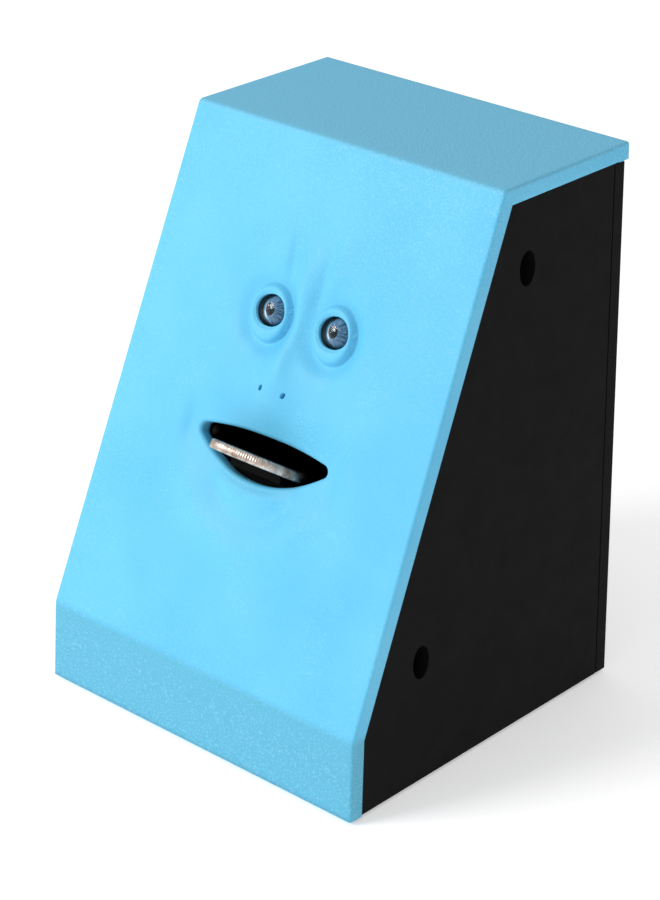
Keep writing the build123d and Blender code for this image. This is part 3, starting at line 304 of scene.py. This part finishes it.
def columns():
    """Columns across the front: (offset from the centre or from the side, inset)."""
    fine = np.arange(-25.9, FACE_X, FINE)
    coarse = np.linspace(FACE_X, EDGE_FLAT, 9)[1:]
    middle = [(x, 0.0, "centre") for x in np.concatenate([-coarse[::-1], fine, coarse])]
    turn = np.linspace(0, math.pi / 2, 7)
    edge = [(EDGE_R - EDGE_R * math.sin(a), EDGE_R - EDGE_R * math.cos(a)) for a in turn]
    wrap = [(0.0, 1.6), (0.0, 2.6), (0.0, LIP - 0.35), (0.12, LIP - 0.1), (0.4, LIP), (SHEET, LIP)]
    side = [(2.4, 0.0)] + edge + wrap
    right = [(offset, inset, "right") for offset, inset in side]
    left = [(offset, inset, "left") for offset, inset in reversed(side)]
    return left + middle + right


def skin_point(station, column):
    """(x, y, z) of one grid point, before relief."""
    corner, move, curve, _ = station
    offset, inset, where = column
    y, z = corner + inset * move + curve * (1 - inset / LIP)
    if where == "centre":
        return offset, y, z
    h = half_width(z)
    return (h - offset, y, z) if where == "right" else (offset - h, y, z)


def build_skin_grid():
    stations, across = outline_stations(), columns()
    rows = []
    for station in stations:
        rows.append([skin_point(station, column) for column in across])
    first, last = [], []
    for (x, y, z), column in zip(rows[0], across):
        first.append((x, y + max(SHEET - column[1], 0.0), z))
    for (x, y, z), column in zip(rows[-1], across):
        last.append((x, y - max(SHEET - column[1], 0.0), z))
    rows = [first] + rows + [last]
    v_of_row = [None] + [station[3] for station in stations] + [None]
    return np.array(rows), v_of_row, across


def jaw_share(x, v):
    """How far a point of the skin goes with the jaw: the lower lip most, less below it and to its sides."""
    below = smooth_step((v - 27) / 15) * smooth_step((51.5 - v) / 2.5)
    lip = smooth_step((20.5 - np.abs(x)) / 9)
    return below * lip


def place(x, v, w):
    y, z = on_slant(v, w)
    return Vector((x, y, z)) * MM


def build_skin():
    grid, v_of_row, across = build_skin_grid()
    mesh = bmesh.new()
    share = mesh.verts.layers.float.new("share")
    rows, cols = grid.shape[:2]
    points, flat = {}, {}

    for i in range(rows):
        v = v_of_row[i]
        if v is not None:
            xs = grid[i, :, 0]
            heights = relief(xs, np.full(cols, v))
            left = material_left(xs, np.full(cols, v))
            shares = jaw_share(xs, np.full(cols, v))
        for j in range(cols):
            x, y, z = grid[i, j]
            if v is not None and across[j][1] == 0.0:
                w = heights[j]
                vert = mesh.verts.new((x * MM, (y - w * COS) * MM, (z + w * SIN) * MM))
                vert[share] = shares[j]
                flat[i, j] = (x, v, left[j])
            else:
                vert = mesh.verts.new((x * MM, y * MM, z * MM))
                if v is not None:
                    flat[i, j] = (x, v, 9.0)
            points[i, j] = vert

    crossings, rim_edges, dropped = {}, [], set()

    def crossing(a, b):
        key = (a, b) if a < b else (b, a)
        if key not in crossings:
            (xa, va, da), (xb, vb, db) = flat[a], flat[b]
            t = da / (da - db)
            for _ in range(3):  # settle on the outline itself
                x, v = xa + (xb - xa) * t, va + (vb - va) * t
                d = float(material_left(np.array([x]), np.array([v]))[0])
                t = min(max(t + d / (da - db), 0.02), 0.98)
            x, v = xa + (xb - xa) * t, va + (vb - va) * t
            w = float(relief(np.array([x]), np.array([v]))[0])
            vert = mesh.verts.new(place(x, v, w))
            vert[share] = float(jaw_share(np.array([x]), np.array([v]))[0])
            crossings[key] = (vert, x, v, w)
        return crossings[key]

    for i in range(rows - 1):
        for j in range(cols - 1):
            keys = [(i, j), (i, j + 1), (i + 1, j + 1), (i + 1, j)]
            kept = [flat[k][2] > 0 if k in flat else True for k in keys]
            if all(kept):
                mesh.faces.new([points[k] for k in keys])
                continue
            for k, keep in zip(keys, kept):
                if not keep:
                    dropped.add(k)
            if not any(kept):
                continue
            ring, rim = [], []
            for n in range(4):
                a, b = keys[n], keys[(n + 1) % 4]
                if kept[n]:
                    ring.append(points[a])
                if kept[n] != kept[(n + 1) % 4]:
                    cut = crossing(a, b)
                    ring.append(cut[0])
                    rim.append((cut, kept[n]))
            if len(ring) >= 3:
                mesh.faces.new(ring)
            if len(rim) == 2:
                (first, leaving), (second, _) = rim
                rim_edges.append((first, second) if leaving else (second, first))
    for key in dropped:
        mesh.verts.remove(points[key])

    for loop in chained(rim_edges):
        add_rim(mesh, share, loop)

    bmesh.ops.remove_doubles(mesh, verts=mesh.verts, dist=0.004 * MM)
    bmesh.ops.dissolve_degenerate(mesh, edges=mesh.edges, dist=0.002 * MM)
    return finish_mesh("face_skin_moulding", mesh, share)


def chained(edges):
    """Closed loops out of loose directed edges."""
    following = {id(a[0]): (a, b) for a, b in edges}
    loops = []
    while following:
        key = next(iter(following))
        start = key
        loop = []
        while key in following:
            a, b = following.pop(key)
            loop.append(a)
            key = id(b[0])
        if key == start and len(loop) > 5:
            loops.append(loop)
    return loops


def add_rim(mesh, share, loop):
    """Rounds the rim of an opening and carries it down as the sheet's thickness."""
    xs = np.array([p[1] for p in loop])
    vs = np.array([p[2] for p in loop])
    ws = np.array([p[3] for p in loop])
    kind, side, shape, radius = min(HOLES, key=lambda hole: np.abs(hole[2](xs, vs) - hole[3]).mean())
    eps = 0.05
    gx = (shape(xs + eps, vs) - shape(xs - eps, vs)) / (2 * eps)
    gv = (shape(xs, vs + eps) - shape(xs, vs - eps)) / (2 * eps)
    length = np.maximum(np.hypot(gx, gv), 1e-6)
    gx, gv = gx / length, gv / length
    rings = []
    for a in np.linspace(0, math.pi / 2, 6)[1:]:
        rings.append((radius * math.sin(a), radius * (1 - math.cos(a))))
    if kind == "mouth":
        rings += [(radius, 1.9), (radius - 0.05, 2.9), (radius - 0.2, 3.6), (radius - 0.6, LIP_DEPTH)]
    elif kind == "eye":
        rings += [(radius, 0.55)]
    else:
        rings += [(radius + 0.02, 0.9), (radius + 0.04, 2.2)]
    previous = [p[0] for p in loop]
    count = len(loop)
    for number, (inward, down) in enumerate(rings):
        x, v = xs - gx * inward, vs - gv * inward
        w = ws - down
        if kind == "eye":
            reach = np.minimum((x - EYE_X[side]) ** 2 + (v - EYE_V) ** 2, LENS_R**2 - 0.1)
            lens = -BALL_DEPTH + np.sqrt(LENS_R**2 - reach) + 0.03
            w = lens if number == len(rings) - 1 else np.maximum(w, lens)
        elif kind == "mouth" and down > radius:
            w = np.minimum(w, -down)
        ring = []
        for n in range(count):
            vert = mesh.verts.new(place(x[n], v[n], w[n]))
            vert[share] = loop[n][0][share]
            ring.append(vert)
        for n in range(count):
            m = (n + 1) % count
            mesh.faces.new([previous[m], previous[n], ring[n], ring[m]])
        previous = ring
    if kind == "nostril":
        mesh.faces.new(list(reversed(previous)))


def finish_mesh(name, mesh, share=None):
    shares = [v[share] for v in mesh.verts] if share is not None else None
    for face in mesh.faces:
        face.smooth = True
    data = bpy.data.meshes.new(name)
    mesh.to_mesh(data)
    mesh.free()
    made = bpy.data.objects.new(name, data)
    bpy.context.scene.collection.objects.link(made)
    return (made, shares) if share is not None else made


# ================================================================ coin
COIN_TILT = math.radians(33.0)
COIN_POINTS, COIN_REEDS, COIN_BEADS, COIN_PETALS = 720, 120, 60, 8


def coin_frame():
    """Matrix from the coin's own axes to the row frame, and its radius, from the CAD coin's box."""
    lo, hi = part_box("coin")
    turn = Matrix.Rotation(-COIN_TILT, 4, "X")
    return Matrix.Translation((lo + hi) / 2) @ turn, (hi.x - lo.x) / 2


def build_coin():
    """Worn coin: raised rim with a beaded border, a plain relief in the field and a reeded edge."""
    where, radius = coin_frame()
    radius = radius / MM - 0.01
    profile = [  # (radius, height) from the centre to the edge
        (0.0, 0.80), (1.6, 0.86), (3.2, 0.80), (4.6, 0.90), (5.8, 0.78), (6.8, 0.74), (7.6, 0.76),
        (8.3, 0.74), (8.9, 0.86), (9.4, 0.74), (9.8, 0.74), (10.1, 1.02), (10.35, 1.12), (10.9, 1.14),
        (11.25, 1.10),
        (radius - 0.12, 1.0), (radius, 0.86),
    ]
    mesh = bmesh.new()
    rings = []
    for r, h in profile[1:]:
        ring = []
        for k in range(COIN_POINTS):
            a = 2 * math.pi * k / COIN_POINTS
            lift = 0.0
            if 4.0 < r < 6.5:
                lift = 0.07 * max(0.0, math.cos(COIN_PETALS * a))
            if abs(r - 8.9) < 0.1:
                lift = 0.05 * math.cos(COIN_BEADS * a)
            reach = r
            if r >= radius - 0.15:
                reach = r - 0.11 * (0.5 - 0.5 * math.cos(COIN_REEDS * a))
            ring.append((reach * math.cos(a), reach * math.sin(a), h + lift))
        rings.append(ring)
    lower = [[(x, y, -z) for x, y, z in ring] for ring in reversed(rings)]
    rows = [[mesh.verts.new(Vector(p) * MM) for p in ring] for ring in rings + lower]
    top = mesh.verts.new((0, 0, profile[0][1] * MM))
    bottom = mesh.verts.new((0, 0, -profile[0][1] * MM))
    for k in range(COIN_POINTS):
        m = (k + 1) % COIN_POINTS
        mesh.faces.new([top, rows[0][k], rows[0][m]])
        mesh.faces.new([bottom, rows[-1][m], rows[-1][k]])
        for a, b in zip(rows, rows[1:]):
            mesh.faces.new([a[k], b[k], b[m], a[m]])
    mesh.transform(where)
    return finish_mesh("coin_struck", mesh)


# ================================================================ materials
class Paint:
    """A node material with a Principled surface and short ways to add the usual nodes."""

    def __init__(self, name, colour, roughness=0.5, metallic=0.0, **more):
        self.material = bpy.data.materials.new(name)
        self.material.use_nodes = True
        self.tree = self.material.node_tree
        self.shader = self.tree.nodes["Principled BSDF"]
        self.set(self.shader, "Base Color", (*colour, 1.0))
        self.set(self.shader, "Roughness", roughness)
        self.set(self.shader, "Metallic", metallic)
        for socket, value in more.items():
            self.set(self.shader, socket.replace("_", " "), value)
        self.where = self.node("ShaderNodeTexCoord").outputs["Object"]

    def set(self, node, socket, value):
        target = node.inputs[socket]
        if isinstance(value, bpy.types.NodeSocket):
            self.tree.links.new(value, target)
        else:
            target.default_value = value

    def node(self, kind, sockets=None, **settings):
        made = self.tree.nodes.new(kind)
        for key, value in settings.items():
            setattr(made, key, value)
        for socket, value in (sockets or {}).items():
            self.set(made, socket, value)
        return made

    def noise(self, size_mm, detail=3.0, rough=0.55, where=None):
        sockets = {"Vector": where or self.where, "Scale": 1 / (size_mm * MM), "Detail": detail}
        return self.node("ShaderNodeTexNoise", {**sockets, "Roughness": rough}).outputs["Fac"]

    def cells(self, size_mm):
        made = self.node("ShaderNodeTexVoronoi", {"Vector": self.where, "Scale": 1 / (size_mm * MM)})
        return made.outputs["Distance"]

    def ramp(self, value, low, high, start=0.0, end=1.0):
        made = self.node(
            "ShaderNodeMapRange",
            {"Value": value, "From Min": low, "From Max": high, "To Min": start, "To Max": end},
        )
        return made.outputs["Result"]

    def sums(self, operation, a, b):
        made = self.node("ShaderNodeMath", operation=operation)
        self.set(made, 0, a)
        self.set(made, 1, b)
        return made.outputs[0]

    def mix(self, factor, a, b):
        made = self.node("ShaderNodeMix", data_type="RGBA")
        self.set(made, 0, factor)
        for socket, value in ((6, a), (7, b)):
            self.set(made, socket, value if isinstance(value, bpy.types.NodeSocket) else (*value, 1.0))
        return made.outputs[2]

    def axis(self, direction, centre=(0, 0, 0)):
        """Distance along a direction, in millimetres, from a centre given in metres."""
        shifted = self.node("ShaderNodeVectorMath", operation="SUBTRACT")
        self.set(shifted, 0, self.where)
        self.set(shifted, 1, centre)
        dot = self.node("ShaderNodeVectorMath", operation="DOT_PRODUCT")
        self.set(dot, 0, shifted.outputs[0])
        self.set(dot, 1, tuple(c / MM for c in direction))
        return dot.outputs["Value"]

    def colour(self, value):
        self.set(self.shader, "Base Color", value)

    def roughness(self, value):
        self.set(self.shader, "Roughness", value)

    def bumps(self, height, depth_mm):
        made = self.node("ShaderNodeBump", {"Height": height, "Distance": depth_mm * MM})
        self.set(self.shader, "Normal", made.outputs["Normal"])


def skin_paint():
    """Soft cyan rubber: a fine pebble grain, stronger towards the edges, with pale specks; the darker copies
    of the colour on the kick panel and the top are painted shade.
    """
    paint = Paint("soft_skin", (0.155, 0.575, 0.83), 0.5, Specular_IOR_Level=0.35)
    x = paint.axis((1, 0, 0))
    z = paint.axis((0, 0, 1))
    broad = paint.noise(26, 3, 0.5)
    speckle = paint.noise(0.55, 2, 0.6)
    pebble = paint.cells(0.62)
    fine = paint.noise(0.3, 2, 0.6)
    corner = paint.sums("ADD", paint.sums("MULTIPLY", x, 0.4), z)  # high towards the top right
    top_right = paint.ramp(corner, 96, 140)
    low = paint.ramp(z, 34, 8)
    left = paint.ramp(x, -26, -46)
    edges = paint.sums("MAXIMUM", paint.sums("MAXIMUM", top_right, low), paint.sums("MULTIPLY", left, 0.6))
    patches = paint.sums("MULTIPLY", paint.ramp(paint.noise(14, 2, 0.5), 0.48, 0.68), 0.6)
    grain = paint.sums("MAXIMUM", edges, patches)
    grain = paint.sums("ADD", paint.sums("MULTIPLY", grain, 0.75), 0.25)
    base = paint.mix(paint.ramp(broad, 0.35, 0.68), (0.108, 0.510, 0.79), (0.132, 0.555, 0.83))
    # painted shade: the kick panel under the knee gets a darker copy of the skin colour
    base = paint.mix(paint.ramp(z, 21.5, 19.5), base, (0.092, 0.425, 0.615))
    # painted shade: the top gets a duller, slightly darker copy of the skin colour
    base = paint.mix(paint.ramp(z, 133.2, 134.0), base, (0.142, 0.510, 0.735))
    # lightens the colour in pale specks, more where the grain is strong
    pale_specks = paint.sums("MULTIPLY", paint.sums("MULTIPLY", grain, paint.ramp(speckle, 0.5, 0.72)), 0.5)
    base = paint.mix(pale_specks, base, (0.30, 0.68, 0.86))
    paint.colour(base)
    paint.roughness(paint.ramp(speckle, 0.3, 0.7, 0.44, 0.58))
    height = paint.sums("ADD", paint.sums("MULTIPLY", pebble, 0.7), paint.sums("MULTIPLY", fine, 0.5))
    height = paint.sums("MULTIPLY", height, grain)
    paint.bumps(height, 0.13)
    return paint.material


def moulded(name, dark, light, roughness, grain_mm=0.5, depth_mm=0.02, **more):
    """Moulded plastic: faint mottling, a spark-eroded grain, uneven gloss."""
    paint = Paint(name, dark, roughness, **more)
    mottled = paint.noise(9, 3, 0.6)
    paint.colour(paint.mix(paint.ramp(mottled, 0.3, 0.7), dark, light))
    grain = paint.noise(grain_mm, 3, 0.6)
    paint.roughness(paint.ramp(paint.noise(5, 4, 0.6), 0.3, 0.7, roughness - 0.05, roughness + 0.06))
    paint.bumps(grain, depth_mm)
    return paint.material


def metal(name, dark, light, roughness, brushed=(1, 1, 1)):
    """Plated or turned metal: tarnish patches and fine marks drawn along one axis."""
    paint = Paint(name, dark, roughness, 1.0)
    paint.colour(paint.mix(paint.ramp(paint.noise(3, 4, 0.6), 0.3, 0.7), dark, light))
    mapping = paint.node("ShaderNodeMapping", {"Vector": paint.where, "Scale": brushed})
    marks = paint.noise(1.2, 4, 0.7, mapping.outputs[0])
    paint.roughness(paint.ramp(marks, 0.3, 0.7, roughness - 0.08, roughness + 0.12))
    paint.bumps(marks, 0.01)
    return paint.material


def coin_paint():
    """Worn nickel-brass coin: bright where it is rubbed, brown in the low parts and between the reeds."""
    paint = Paint("coin_metal", (0.5, 0.42, 0.33), 0.3, 1.0)
    wear = paint.noise(2.2, 5, 0.65)
    fine = paint.noise(0.35, 3, 0.7)
    base = paint.mix(paint.ramp(wear, 0.36, 0.62), (0.27, 0.18, 0.14), (0.70, 0.60, 0.53))
    base = paint.mix(paint.ramp(fine, 0.58, 0.72, 0.0, 0.6), base, (0.16, 0.11, 0.08))
    paint.colour(base)
    paint.roughness(paint.ramp(wear, 0.3, 0.7, 0.46, 0.24))
    paint.bumps(fine, 0.03)
    return paint.material


def eye_axes(paint, side):
    """Radius from the eye's axis and the two coordinates across it, in millimetres."""
    lo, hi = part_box("eye_lens_right" if side > 0 else "eye_lens_left")
    centre = Vector(((lo.x + hi.x) / 2, on_slant(EYE_V, 0)[0] * MM, on_slant(EYE_V, 0)[1] * MM))
    across = paint.axis((1, 0, 0), centre)
    up = paint.axis((0, SIN, COS), centre)
    square = paint.sums("ADD", paint.sums("MULTIPLY", across, across), paint.sums("MULTIPLY", up, up))
    return paint.sums("SQRT", square, 0.0), across, up


def iris_paint(side):
    """Printed iris: silver-blue spokes, pale silver patches of painted reflection, a darker collar round the
    pupil and a dark limbus at the edge.
    """
    name = "eye_iris_left" if side < 0 else "eye_iris_right"
    paint = Paint(name, (0.2, 0.3, 0.4), 0.4, Specular_IOR_Level=0.2)
    radius, across, up = eye_axes(paint, side)
    angle = paint.sums("ARCTAN2", up, across)
    turned, outward = paint.sums("MULTIPLY", angle, 5.0), paint.sums("MULTIPLY", radius, 0.35)
    spokes = paint.node("ShaderNodeCombineXYZ", {"X": turned, "Y": outward}).outputs[0]
    streak = paint.node("ShaderNodeTexNoise", {"Vector": spokes, "Scale": 1.6, "Detail": 4.0}).outputs["Fac"]
    silver_reflection = paint.noise(1.1, 3, 0.6)
    base = paint.mix(paint.ramp(streak, 0.35, 0.65), (0.018, 0.07, 0.13), (0.22, 0.40, 0.52))
    # painted reflection: pale silver patches mixed over the iris
    base = paint.mix(paint.ramp(silver_reflection, 0.54, 0.68, 0.0, 0.6), base, (0.55, 0.55, 0.66))
    collar = paint.ramp(radius, 1.4, 1.6, 0.85, 0.0)
    base = paint.mix(collar, base, (0.010, 0.016, 0.03))
    limbus = paint.ramp(radius, 3.5, 4.2, 0.0, 0.93)
    base = paint.mix(limbus, base, (0.012, 0.028, 0.05))
    paint.colour(base)
    paint.bumps(streak, 0.05)
    return paint.material


def pupil_paint():
    paint = Paint("eye_pupil", (0.006, 0.006, 0.008), 0.5, Specular_IOR_Level=0.1)
    paint.colour(paint.mix(paint.noise(0.8, 3, 0.6), (0.004, 0.004, 0.006), (0.016, 0.017, 0.022)))
    return paint.material


def lens_paint():
    """Clear polished cover: what is behind shows straight through, with a bright reflection over it."""
    paint = Paint("eye_lens", (0.9, 0.95, 1.0), 0.04)
    tree = paint.tree
    clear = paint.node("ShaderNodeBsdfTransparent", {"Color": (0.86, 0.93, 0.98, 1.0)})
    gloss = paint.node("ShaderNodeBsdfGlossy", {"Color": (1.0, 1.0, 1.0, 1.0), "Roughness": 0.06})
    bend = paint.node("ShaderNodeFresnel", {"IOR": 1.3})
    mix = paint.node("ShaderNodeMixShader", {0: bend.outputs[0]})
    tree.links.new(clear.outputs[0], mix.inputs[1])
    tree.links.new(gloss.outputs[0], mix.inputs[2])
    smear = paint.node("ShaderNodeBump", {"Height": paint.noise(1.4, 3, 0.6), "Distance": 0.012 * MM})
    tree.links.new(smear.outputs[0], gloss.inputs["Normal"])
    output = next(n for n in tree.nodes if n.type == "OUTPUT_MATERIAL")
    tree.links.new(mix.outputs[0], output.inputs["Surface"])
    tree.nodes.remove(paint.shader)
    return paint.material


def board_paint():
    """Green solder mask over copper tracks."""
    paint = Paint("circuit_board", (0.02, 0.16, 0.07), 0.3, 0.0, Coat_Weight=0.3)
    mapping = paint.node("ShaderNodeMapping", {"Vector": paint.where, "Scale": (1, 700, 700)})
    sockets = {"Vector": mapping.outputs[0], "Scale": 1.0, "Mortar Size": 0.09}
    tracks = paint.node("ShaderNodeTexBrick", sockets).outputs["Fac"]
    paint.colour(paint.mix(tracks, (0.015, 0.13, 0.055), (0.05, 0.26, 0.10)))
    paint.bumps(tracks, 0.05)
    return paint.material


def sleeve_paint(name, dark, light, band_axis):
    """Printed sleeve of a cell or capacitor: one plain band, slight scuffs, no marks."""
    paint = Paint(name, dark, 0.25, 0.0, Coat_Weight=0.4)
    along = paint.axis(band_axis)
    band = paint.ramp(along, 14.0, 14.4)
    paint.colour(paint.mix(band, dark, light))
    paint.roughness(paint.ramp(paint.noise(2, 4, 0.7), 0.3, 0.7, 0.2, 0.34))
    paint.bumps(paint.noise(0.8, 3, 0.6), 0.01)
    return paint.material


PAINTS = {
    "soft_skin": skin_paint(),
    "black_plastic": moulded(
        "case_black", (0.0058, 0.0058, 0.0061), (0.0072, 0.0072, 0.0075), 0.5, 0.55, 0.012,
        Specular_IOR_Level=0.03,
    ),
    # painted shade: a darker, duller copy of the case black for the parts inside the body, such as the jaw
    # and throat behind the mouth
    "inner_black": moulded(
        "inner_black", (0.0018, 0.0018, 0.002), (0.0030, 0.0030, 0.0033), 0.6, 0.6, 0.02,
        Specular_IOR_Level=0.04,
    ),
    "coin_metal": coin_paint(),
    "eye_lens": lens_paint(),
    "eye_pupil": pupil_paint(),
    "eye_iris_left": iris_paint(-1),
    "eye_iris_right": iris_paint(1),
    "white_plastic": moulded("natural_acetal", (0.72, 0.71, 0.66), (0.82, 0.81, 0.77), 0.38, 0.8, 0.015),
    "rubber": moulded("foot_rubber", (0.02, 0.02, 0.021), (0.03, 0.03, 0.031), 0.75, 0.4, 0.03),
    "brass": metal("turned_brass", (0.55, 0.38, 0.14), (0.78, 0.58, 0.26), 0.28, (8, 1, 1)),
    "steel": metal("zinc_plate", (0.42, 0.43, 0.44), (0.60, 0.60, 0.60), 0.32),
    "black_steel": metal("blackened_screw", (0.03, 0.03, 0.032), (0.05, 0.05, 0.05), 0.4),
    "battery_sleeve": sleeve_paint("cell_sleeve", (0.02, 0.02, 0.024), (0.55, 0.36, 0.12), (1, 0, 0)),
    "capacitor_sleeve": sleeve_paint("capacitor_sleeve", (0.02, 0.03, 0.10), (0.55, 0.55, 0.60), (0, 1, 0)),
    "circuit_board": board_paint(),
    "chip_black": moulded("chip_epoxy", (0.012, 0.012, 0.012), (0.03, 0.03, 0.03), 0.6, 0.2, 0.01),
    "sensor_clear": moulded(
        "sensor_epoxy", (0.55, 0.58, 0.66), (0.68, 0.72, 0.80), 0.12, 1.0, 0.005, Coat_Weight=0.5
    ),
}
INNER = ("front_frame", "throat", "jaw", "battery_box", "power_switch")  # nodes with the darker, duller black, painted shade for the parts inside
BLACKENED = ("side_screws", "rear_cover_screws", "battery_door_screw")


def paint_node(name, part):
    """Puts the right finish on one CAD node."""
    slot = RECORD_SLOTS[name]
    if name in INNER:
        finish = PAINTS["inner_black"]
    elif name in BLACKENED:
        finish = PAINTS["black_steel"]
    elif slot == "eye_iris":
        finish = PAINTS["eye_iris_left" if name.endswith("left") else "eye_iris_right"]
    else:
        finish = PAINTS[slot]
    for material_slot in part.material_slots:
        material_slot.material = finish


for name, part in frame["nodes"].items():
    paint_node(name, part)

# ================================================================ pieces
skin, shares = build_skin()
skin.data.materials.append(PAINTS["soft_skin"])
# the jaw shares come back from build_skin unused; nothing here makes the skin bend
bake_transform(skin)
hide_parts("face_skin")

coin = build_coin()
coin.data.materials.append(PAINTS["coin_metal"])
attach(coin, "coin")
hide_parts("coin")

# ================================================================ floor, light and camera
floor_mesh = bmesh.new()
bmesh.ops.create_grid(floor_mesh, x_segments=8, y_segments=8, size=3.0)
floor = finish_mesh("studio_floor", floor_mesh)
floor.location.z = cad_box[0].z - 0.0002
GLOW = {"Emission_Color": (1, 1, 1, 1), "Emission_Strength": 0.38}
floor_paint = Paint("studio_floor", (0.93, 0.93, 0.935), 0.75, **GLOW)
floor_paint.colour(floor_paint.mix(floor_paint.noise(60, 2, 0.5), (0.925, 0.925, 0.93), (0.935, 0.935, 0.94)))
floor.data.materials.append(floor_paint.material)

world = bpy.data.worlds.new("studio")
bpy.context.scene.world = world
world.use_nodes = True
background = world.node_tree.nodes["Background"]
background.inputs["Color"].default_value = (1.0, 1.0, 1.0, 1.0)
background.inputs["Strength"].default_value = 0.6

KEY_PLACE, KEY_TARGET, KEY_SIDE, KEY_POWER = Vector((-0.46, -0.80, 0.66)), Vector((0, 0, 0.07)), 0.4, 6.5
lamp = bpy.data.lights.new("key", "AREA")
lamp.shape = "RECTANGLE"
lamp.size = lamp.size_y = KEY_SIDE
lamp.energy = KEY_POWER
key = bpy.data.objects.new("key", lamp)
bpy.context.scene.collection.objects.link(key)
key.location = KEY_PLACE
key.rotation_euler = (KEY_TARGET - KEY_PLACE).to_track_quat("-Z", "Y").to_euler()

# fitted to the corners of the body in the photograph
CAMERA_PLACE = Vector((0.38463, -0.42707, 0.33480))
CAMERA_FORWARD = Vector((-0.60475, 0.66919, -0.43181))
CAMERA_UP = Vector((-0.29473, 0.31564, 0.90194))
camera_data = bpy.data.cameras.new("camera")
camera_data.lens = 109.63
camera_data.sensor_width = 36.0
camera = bpy.data.objects.new("camera", camera_data)
bpy.context.scene.collection.objects.link(camera)
forward = CAMERA_FORWARD.normalized()
across = forward.cross(CAMERA_UP).normalized()
up = across.cross(forward).normalized()
camera.matrix_world = Matrix.Translation(CAMERA_PLACE) @ Matrix((across, up, -forward)).transposed().to_4x4()
bpy.context.scene.camera = camera
bpy.context.scene.view_settings.view_transform = "Standard"
